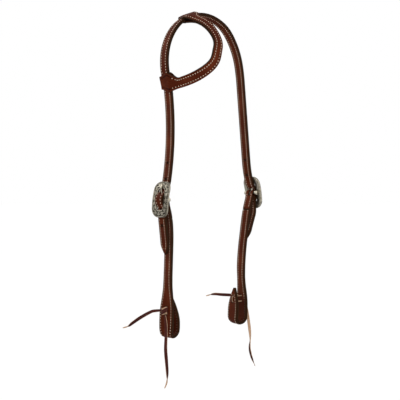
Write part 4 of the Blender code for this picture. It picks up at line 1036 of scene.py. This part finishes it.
def cheek_ply(side, name, inner, outer, places, slot_ends, material, node, slot):
    """One ply of a cheek strap, punched for the lace and slotted for the buckle's tongue: gives
    the lengths along it, and its outer face as a function of the length and the place across."""
    cheek = CHEEKS[side]
    lay = lengths_along((inner + outer) / 2)

    def half(along):
        """Half the ply's width at a length along it."""
        return cheek_half(cheek, np.interp(along, lay, places))

    def face_point(along, across, line=outer):
        """A point of one of the ply's faces."""
        return cheek_point(cheek, read_at(along, lay, line), across)

    holes = loop_holes(cheek, lay, places, (inner + outer) / 2)
    rows = strap_rows(0.0, lay[-1], CHEEK_SPACING, holes, ((lay[-1], -1, LEAF_TIP_LENGTH),))
    cuts = [float(np.interp(end, np.arange(len(lay)), lay)) for end in slot_ends]
    if cuts:
        clear = (rows < cuts[0] - NUDGE) | (rows > cuts[1] + NUDGE)
        rows = np.sort(np.concatenate((rows[clear], np.linspace(*cuts, 26))))
    along, across, rim, keep = punched_grid(rows, strap_columns(CHEEK_SPACING), half, holes)
    if cuts:
        first, last = (int(np.argmin(np.abs(rows - cut))) for cut in cuts)
        left, right = along.shape[1] // 2 - RIM_RING, along.shape[1] // 2 + RIM_RING
        keep[first:last, left:right] = False
        rim[first : last + 1, left : right + 1] = 0.0
    margin = np.minimum(half(along) - np.abs(across), np.minimum(along, lay[-1] - along))
    row = across / np.maximum(cheek_row(cheek, np.interp(along, lay, places)), NUDGE)
    faces = [face_point(along, across, line) for line in (inner, outer)]
    shape = leather_sheet(*faces, keep, margin, rim, along, row)
    make_piece(side + name, shape, material, side + "_cheek", (side + node,), slot)
    return lay, face_point


for side, cheek in CHEEKS.items():
    cheek["line"] = cheek_line(cheek)
    distance, place, heading = cheek["line"]
    cheek["end"] = distance[-1]
    cheek["bottom"] = distance[-1] - LEAF_LENGTH - np.pi * cheek["radius"] / 2
    inner, outer, places = outer_ply(cheek)
    tilt = np.radians(cheek["tilt"])
    high = ((inner + outer) / 2 - cheek["bar"]) @ np.array((-np.sin(tilt), np.cos(tilt)))
    # The tongue's slot goes round the bar, down to a little below it on each face
    slotted = np.flatnonzero((high > -SLOT_DEPTH) & (places < 0.02))[[0, -1]]
    lay, surface = cheek_ply(
        side, "_cheek_grain", inner, outer, places, slotted, GRAIN_LEATHER, "_cheek_outer", "leather"
    )
    inside = distance > TURN_BACK + GAP
    facing = [(place - outward(heading) * off)[inside] for off in (GAP / 2, HALF_STRAP)]
    lining_lay, lining_surface = cheek_ply(
        side, "_cheek_lining_leather", *facing, distance[inside], (), LINING_LEATHER, "_cheek_lining", "lining"
    )

    def outer_row(along):
        """How far from its middle the outer ply's stitches lie."""
        return cheek_row(cheek, np.interp(along, lay, places))

    def lining_row(along):
        """How far from its middle the lining's stitches lie."""
        return cheek_row(cheek, np.interp(along, lining_lay, distance[inside]))

    turn_back_end, bar_end = float(lay[np.argmin(places)]), float(lay[len(lay) - len(distance)])
    rows = []
    for start, end in ((TURN_BACK_UNSEWN, turn_back_end - LEAF_UNSEWN), (bar_end + BAR_UNSEWN, lay[-1] - LEAF_UNSEWN)):
        rows += sewn_rows(surface, stitch_places(start, end), outer_row, cheek["sign"])
    along = stitch_places(LINING_UNSEWN, lining_lay[-1] - LEAF_UNSEWN)
    to_end = cheek["end"] - np.interp(along, lining_lay, distance[inside])
    # The lining's thread is painted dark towards the leaf's point, as painted shade inside the bit loop
    painted_shade = ease((SHADED_LENGTH - to_end) / SHADED_FADE)
    rows += sewn_rows(lining_surface, along, lining_row, -cheek["sign"], painted_shade)
    make_piece(side + "_cheek_stitching", joined(rows), STITCHES, side + "_cheek")

# ---------------------------------------------------------------------------------------------
# Buckles: a curved cast frame of silver-coloured metal with a rope edge and an engraved running
# scroll, antiqued dark in its ground. A steel bar sits in a boss behind each rail.
SILVER = (0.440, 0.400, 0.320, 1.0)
TARNISH = (0.30, 0.26, 0.19, 1.0)
ANTIQUE = (0.020, 0.016, 0.011, 1.0)
FRAME_CORNER, MIDDLE_CORNER, WINDOW_CORNER = 0.013, 0.0085, 0.0070
OPENING_HEIGHT = 0.0343
# The engraved field, in shares of the way from the window to the rim, and its middle
FIELD_START, FIELD_END, FIELD_MIDDLE = 0.10, 0.84, 0.47
SCROLL_PITCH = 0.0170
SCROLL_DEPTH = 0.0002
ROPE_RADIUS = 0.0009
ROPE_RIDGE = 0.0029
ROPE_SUNK = 0.0005
RIM_TONE = 0.42


def rounded_outline(width, height, corner, count):
    """Even points on a rectangle with round corners, their lengths along it, and the whole."""
    angle = np.concatenate([np.linspace(k, k + 1, 40) for k in range(4)]) * np.pi / 2
    quarter = np.repeat(np.arange(4), 40)
    x = (width / 2 - corner) * np.where((quarter == 0) | (quarter == 3), 1, -1) + corner * np.cos(angle)
    y = (height / 2 - corner) * np.where(quarter < 2, 1, -1) + corner * np.sin(angle)
    points = np.stack((np.append(x, x[0]), np.append(y, y[0])), 1)
    along = lengths_along(points)
    wanted = np.linspace(0.0, along[-1], count, endpoint=False)
    return read_at(wanted, along, points), wanted, along[-1]


def outline_reach(width, height, corner, angle):
    """How far a rounded rectangle's edge lies from its middle at each angle."""
    points, _, _ = rounded_outline(width, height, corner, 1600)
    found = np.arctan2(points[:, 1], points[:, 0])
    order = np.argsort(found)
    return np.interp(angle, found[order], np.hypot(points[order, 0], points[order, 1]), period=2 * np.pi)


def scroll_lines():
    """One repeat of the running scroll: a vine that swings like a sine, with a spiral in each bend
    whose radius shrinks evenly as it winds in, and two short leaf lines at each."""
    t = np.linspace(0.0, 1.0, 170)
    lines = [np.stack((t * SCROLL_PITCH, 0.0021 * np.sin(2 * np.pi * t)), 1)]
    for hand in (-1, 1):
        middle = np.array(((0.5 - hand * 0.25) * SCROLL_PITCH, hand * -0.0006))
        radius = 0.00255 * (1.0 - 0.82 * t)
        angle = hand * (np.pi / 2 + 3.4 * np.pi * t)
        lines.append(middle + np.stack((radius * np.cos(angle), radius * np.sin(angle)), 1))
        for lean in (-1, 1):
            leaf = middle + np.array((lean * 0.0030, -hand * 0.0024))
            lines.append(leaf + np.stack((lean * 0.0013 * t[:60], -hand * 0.0011 * t[:60] ** 2 * 6), 1))
    return np.vstack(lines)


def scroll_distance(along, across):
    """How far each place of the border lies from the nearest line of the scroll."""
    lines = np.vstack([scroll_lines() + (repeat * SCROLL_PITCH, 0) for repeat in (-1, 0, 1)])
    places = np.array_split(np.stack((along.ravel() % SCROLL_PITCH, across.ravel()), 1), 60)
    nearest = [np.sqrt(((some[:, None] - lines[None]) ** 2).sum(-1).min(1)) for some in places]
    return np.concatenate(nearest).reshape(along.shape)


def buckle_point(side, out, wide, high):
    """A place of a buckle in its own axes, as a point in space."""
    place = on_buckle(side, out, high)
    sign = BUCKLES[side]["sign"]
    return np.stack((sign * place[..., 0], wide, place[..., 1]), -1)


def engraved_plate(side):
    """The frame as a closed profile carried round its window: the face dips at both edges, and the
    scroll stands proud of its ground."""
    wide, high = (FRAME_WIDTH + WINDOW_WIDTH) / 2, (FRAME_HEIGHT + WINDOW_HEIGHT) / 2
    middle, along, around = rounded_outline(wide, high, MIDDLE_CORNER, 440)
    angle = np.arctan2(middle[:, 1], middle[:, 0])
    near = outline_reach(WINDOW_WIDTH, OPENING_HEIGHT, WINDOW_CORNER, angle)[:, None]
    far = outline_reach(FRAME_WIDTH, FRAME_HEIGHT, FRAME_CORNER, angle)[:, None]
    # The profile over the face and back behind it: share of the way to the rim, and depth
    face = np.concatenate(((0.0, 0.03, 0.08), np.linspace(0.12, 0.93, 30), (0.97, 1.0)))
    share = np.concatenate((face, (1.0, 0.96, 0.5, 0.04, 0.0)))
    edges = (0.0002, 0.0009, 0.0029, FRAME_THICKNESS, FRAME_THICKNESS, FRAME_THICKNESS, 0.0029)
    sunk = np.concatenate(((0.0007, 0.0002, 0.00005), np.zeros(30), edges))
    reach = near + (far - near) * share
    wide, high = reach * np.cos(angle)[:, None], reach * np.sin(angle)[:, None]
    lay = np.repeat(along[:, None] / around * round(around / SCROLL_PITCH) * SCROLL_PITCH, len(share), 1)
    away = scroll_distance(lay, (share - FIELD_MIDDLE) * (far - near))
    number = np.arange(len(share))
    field = (number < len(face) - 2) & (share > FIELD_START) & (share < FIELD_END)
    border = (np.abs(share - FIELD_START) < 0.02) | (np.abs(share - FIELD_END) < 0.02)
    border &= number < len(face)
    cut = np.maximum(ease((away - 0.00030) / 0.00020) * field, border * 0.9)
    points = buckle_point(side, frame_face(high) - sunk - SCROLL_DEPTH * cut, wide, high)
    cut[:, len(face) - 2 :] = RIM_TONE
    return points.reshape(-1, 3), carried_faces(*reach.shape, closed=True), {"cut": cut.ravel()}


def rope_edge(side):
    """A rope round the frame's rim: a tube whose radius is 0.7 + 0.36 |cos|^0.7 of half its angle
    plus the turns of the ridges along it."""
    width, height = FRAME_WIDTH - 2 * ROPE_RADIUS, FRAME_HEIGHT - 2 * ROPE_RADIUS
    middle, along, around = rounded_outline(width, height, FRAME_CORNER - ROPE_RADIUS, 620)
    ahead = np.roll(middle, -1, 0) - np.roll(middle, 1, 0)
    outwards = unit(np.stack((ahead[:, 1], -ahead[:, 0]), 1))
    angle = np.arange(14) * 2 * np.pi / 14
    phase = along[:, None] / around * 2 * np.pi * round(around / ROPE_RIDGE) + angle
    ridge = np.abs(np.cos(phase / 2)) ** 0.7
    radius = ROPE_RADIUS * (0.70 + 0.36 * ridge)
    wide, high = (middle[:, k : k + 1] + outwards[:, k : k + 1] * radius * np.cos(angle) for k in (0, 1))
    points = buckle_point(side, frame_face(middle[:, 1:]) - ROPE_SUNK + radius * np.sin(angle), wide, high)
    # The rope is darker in the grooves between its ridges and all along its outward flank
    cut = np.maximum(1.0 - ease((ridge - 0.58) / 0.28), ease((np.cos(angle) - 0.45) / 0.3)[None])
    return points.reshape(-1, 3), carried_faces(620, 14, closed=True), {"cut": cut.ravel()}


def boss(side, hand):
    """A boss behind a rail: a profile of (length, radius) turned about the bar, round at its ends."""
    length = np.array((0.0094, 0.0094, 0.0096, 0.0101, 0.0128, 0.01335, 0.01355, 0.01355))
    radius = np.array((0.0021, 0.0034, 0.0037, 0.0038, 0.0038, 0.0036, 0.0032, 0.0))
    angle = np.arange(32) * np.pi / 16
    out, high = radius[:, None] * np.cos(angle), radius[:, None] * np.sin(angle)
    points = buckle_point(side, out, hand * length[:, None] + 0 * out, high)
    cut = np.repeat((0.5, 0.2, 0.0, 0.0, 0.0, 0.0, 0.1, 0.1), 32)
    # Its far end closes in a point and needs no flat end
    return points.reshape(-1, 3), carried_faces(8, 32)[:-1], {"cut": cut}


def silver_material():
    """Antiqued silver-coloured metal: bright where it stands proud, dark where cut is 1."""
    material, tree, shader = new_material("engraved_silver")
    soil, scratch = noise(tree, 300.0, 4.0, 0.65), noise(tree, 2200.0, 2.0)
    uneven = sum_of(tree, "MULTIPLY_ADD", sum_of(tree, "SUBTRACT", soil, 0.5), 0.55, read_value(tree, "cut"))
    dark = span(tree, uneven, 0.22, 0.75)
    tarnish = blend_colour(tree, span(tree, soil, 0.45, 0.75), SILVER, TARNISH)
    colour = blend_colour(tree, dark, tarnish, ANTIQUE)
    rough = sum_of(tree, "MULTIPLY_ADD", dark, 0.32, sum_of(tree, "MULTIPLY_ADD", scratch, 0.18, 0.20))
    finish_shader(tree, shader, colour, rough, sum_of(tree, "ADD", soil, scratch), 0.00008, 0.35)
    shader.inputs["Metallic"].default_value = 1.0
    return material


def steel_material():
    """A plain turned bar, brushed along its length."""
    material, tree, shader = new_material("bar_steel")
    spot = wire(tree, "TexCoord").outputs["Object"]
    drawn = wire(tree, "Mapping", {"Vector": spot, "Scale": (3000.0, 90.0, 3000.0)}).outputs["Vector"]
    lines = wire(tree, "TexNoise", {"Vector": drawn, "Scale": 1.0, "Detail": 3.0}).outputs["Fac"]
    colour = blend_colour(tree, span(tree, lines, 0.3, 0.7), (0.42, 0.41, 0.39, 1.0), (0.27, 0.26, 0.24, 1.0))
    rough = sum_of(tree, "MULTIPLY_ADD", lines, 0.25, 0.25)
    finish_shader(tree, shader, colour, rough, lines, 0.00005, 0.3)
    shader.inputs["Metallic"].default_value = 1.0
    return material


ENGRAVED = silver_material()
STEEL = steel_material()

for side in BUCKLES:
    parts = [engraved_plate(side), rope_edge(side), boss(side, -1), boss(side, 1)]
    make_piece(side + "_engraved_buckle", joined(parts), ENGRAVED, "crown", (side + "_buckle_frame",), "silver", 70.0)
    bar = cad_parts[side + "_buckle_bar"]
    bar.data.materials.clear()
    bar.data.materials.append(STEEL)

# ---------------------------------------------------------------------------------------------
# Tongues: a silver-coloured prong on each bar. Its eye goes round the bar through the cheek
# strap's slot, and its shank goes up through the billet's hole and rests on the upper rim.
EYE_MIDDLE = BAR_RADIUS + 0.00025 + 0.0006
EYE_START, EYE_END = 380.0, 62.0
TONGUE_OVER_RIM = 0.0068
TONGUE_TIP = 0.0016


def tongue_shape(side):
    """An oval profile carried along the prong: round the bar, straight to the rim's edge, and
    along the rim to a rounded tip. Its width and thickness follow the length."""
    eye_angle = np.radians(np.linspace(EYE_START, EYE_END, 40))
    eye = EYE_MIDDLE * np.stack((np.cos(eye_angle), np.sin(eye_angle)), 1)
    tip_height = WINDOW_HEIGHT / 2 + TONGUE_OVER_RIM
    edge = np.array(TONGUE_EDGE)
    tip = np.array((frame_face(tip_height) + GAP + TONGUE_THICKNESS / 2, tip_height))
    shank = eye[-1] + (edge - eye[-1]) * np.linspace(0.0, 1.0, 26)[1:, None]
    over = edge + (tip - edge) * np.linspace(0.0, 1.0, 16)[1:, None]
    line = np.vstack((eye, shank, over))
    tangent = unit(np.gradient(line, axis=0))
    normal = np.stack((tangent[:, 1], -tangent[:, 0]), 1)[:, None]
    along = lengths_along(line)
    to_tip = np.clip((along[-1] - along) / TONGUE_TIP, 0.0, 1.0)
    round_tip = np.sqrt(np.clip(1.0 - (1.0 - to_tip) ** 2, 0.02, 1.0))
    # Thin where it is bent round the bar, thicker above it
    thick = np.interp(along, (0.0, along[38], along[46], along[-1]), (0.0011, 0.0011, 0.0019, 0.0017)) * round_tip
    width = np.interp(along, (0.0, along[40], along[-1]), (0.0030, 0.0030, 0.0025)) * round_tip
    angle = np.arange(16) * np.pi / 8
    place = line[:, None] + normal * (thick[:, None] / 2 * squared_up(np.sin(angle), 0.8))[..., None]
    points = buckle_point(side, place[..., 0], width[:, None] / 2 * squared_up(np.cos(angle), 0.8), place[..., 1])
    cut = np.repeat(np.interp(along, (0.0, along[39], along[48], along[-1]), (0.7, 0.5, 0.1, 0.0)), 16)
    return points.reshape(-1, 3), carried_faces(len(line), 16), {"cut": cut}


for side in BUCKLES:
    names = side + "_tongue", (side + "_buckle_tongue",), "silver"
    make_piece(side + "_buckle_prong", tongue_shape(side), ENGRAVED, *names)

# ---------------------------------------------------------------------------------------------
# Lace ties: the same flat lace goes through the bit loop's strap and leaf, up one hole and down
# the other, and is knotted on the outer face, so that the loop can be opened to change the bit.
# How far the faces of each loop's strap and leaf lie from its middle
LOOP_FACES = {"right": (0.0098800, -0.0097925), "left": (0.0124431, -0.0104289)}
TIE_CLEARANCE = 0.0005
KNOT_WIDTH, KNOT_DEPTH, KNOT_RISE, KNOT_LEAN = 0.0047, 0.005, 0.0043, 0.42
COIL_DEPTH = 0.00145
RING_CORNER = 0.0023
# Width and thickness of the lace in the ring and in the knot
RING_LACE, KNOT_LACE = (0.0036, 0.0019), (0.0034, 0.0019)


def tie_shape(side):
    """The lace's ring is a rounded rectangle through both holes. The knot is two and a half turns
    of a flattened coil round the ring's outer run: wide sin, deep cos, and rising evenly."""
    cheek, (outer, inner) = CHEEKS[side], LOOP_FACES[side]
    twist, up = np.radians(LOOP_TWIST), np.array((0.0, 0.0, 1.0))
    out = np.array((cheek["sign"] * np.cos(twist), -np.sin(twist), 0.0))
    rear = np.array((cheek["sign"] * np.sin(twist), np.cos(twist), 0.0))
    middle = np.array((cheek["sign"] * cheek["middle"], 0.0, cheek["floor"] + TIE_HEIGHT))
    high, low = outer + TIE_CLEARANCE + LACE_THICKNESS / 2, inner - TIE_CLEARANCE - LACE_THICKNESS / 2
    ring = rounded_outline(high - low, LACE_HOLE_SPACING, RING_CORNER, 120)[0]
    line = middle + out * (ring[:, :1] + (high + low) / 2) + up * ring[:, 1:]
    ring = lace_strip(line, rear, np.full(120, 90.0), *RING_LACE, closed=True)
    t = np.linspace(0.0, 1.0, 130)[:, None]
    angle = 2 * np.pi * (0.30 + 2.45 * t)
    wide, deep = -KNOT_WIDTH * np.sin(angle), COIL_DEPTH * np.cos(angle)
    tall = KNOT_RISE * (2 * t - 1.0) - KNOT_LEAN * wide
    line = middle + out * (outer + TIE_CLEARANCE + KNOT_DEPTH / 2) + out * deep + rear * wide + up * tall
    return joined([ring, lace_strip(line, up, np.full(130, -90.0), *KNOT_LACE)])


for side in KNOTS:
    make_piece(side + "_lace_tie", tie_shape(side), LACE, side + "_cheek", (side + "_tie_lacing",), "lace")

# ---------------------------------------------------------------------------------------------
# Studio: a pale floor under the hanging headstall, a white room and soft lamps at a plain level.
FLOOR_HEIGHT = -0.62
FLOOR_HALF = 40.0
CORNERS = ((-1, -1), (1, -1), (1, 1), (-1, 1))
ROOM_STRENGTH = 0.52
# The floor glows a little above white, and the camera sees this share of the glow
FLOOR_GLOW, GLOW_SHARE = 1.045, 0.93


def floor_material():
    """Near-white floor: the camera sees it mostly as white paper, with the object's shadow."""
    material, tree, shader = new_material("pale_floor")
    shader.inputs["Base Color"].default_value = (0.86, 0.86, 0.86, 1.0)
    shader.inputs["Roughness"].default_value = 0.9
    glow = wire(tree, "Emission", {"Color": WHITE, "Strength": FLOOR_GLOW}).outputs[0]
    share = sum_of(tree, "MULTIPLY", wire(tree, "LightPath").outputs["Is Camera Ray"], GLOW_SHARE)
    both = wire(tree, "MixShader", {0: share, 1: shader.outputs[0], 2: glow}).outputs[0]
    tree.links.new(both, tree.nodes["Material Output"].inputs["Surface"])
    return material


plane = bpy.data.meshes.new("floor")
plane.from_pydata([(x * FLOOR_HALF, y * FLOOR_HALF, FLOOR_HEIGHT) for x, y in CORNERS], [], [(0, 1, 2, 3)])
plane.materials.append(floor_material())
floor = bpy.data.objects.new("floor", plane)
scene.collection.objects.link(floor)

# The room is white to the camera, in metal and in gloss, and lights the headstall at half of that
world = bpy.data.worlds.new("white_room")
world.use_nodes = True
scene.world = world
tree = world.node_tree
background = tree.nodes["Background"]
rays = wire(tree, "LightPath").outputs
seen = sum_of(tree, "MAXIMUM", rays["Is Glossy Ray"], rays["Is Transmission Ray"])
seen = sum_of(tree, "MAXIMUM", rays["Is Camera Ray"], seen)
tree.links.new(span(tree, seen, 0.0, 1.0, ROOM_STRENGTH, 1.0), background.inputs["Strength"])
background.inputs["Color"].default_value = WHITE

# Place and aim of each lamp, its width and its power in watts
LAMPS = {
    "key": ((-1.1, -1.1, 0.6), (0.0, 0.0, -0.25), 0.9, 15.0),
    "fill": ((0.9, -1.3, 0.1), (0.0, 0.0, -0.3), 1.1, 5.0),
    "rear": ((-0.4, 1.3, 0.5), (0.0, 0.0, -0.3), 1.0, 8.0),
}
for name, (place, aim, width, power) in LAMPS.items():
    light = bpy.data.lights.new(name, "AREA")
    light.size = width
    light.energy = power
    lamp = bpy.data.objects.new(name, light)
    lamp.location = place
    backwards = unit(np.array(place) - np.array(aim))
    tip, turn = np.arccos(backwards[2]), np.arctan2(backwards[1], backwards[0])
    lamp.rotation_euler = (0.0, tip, turn)
    scene.collection.objects.link(lamp)
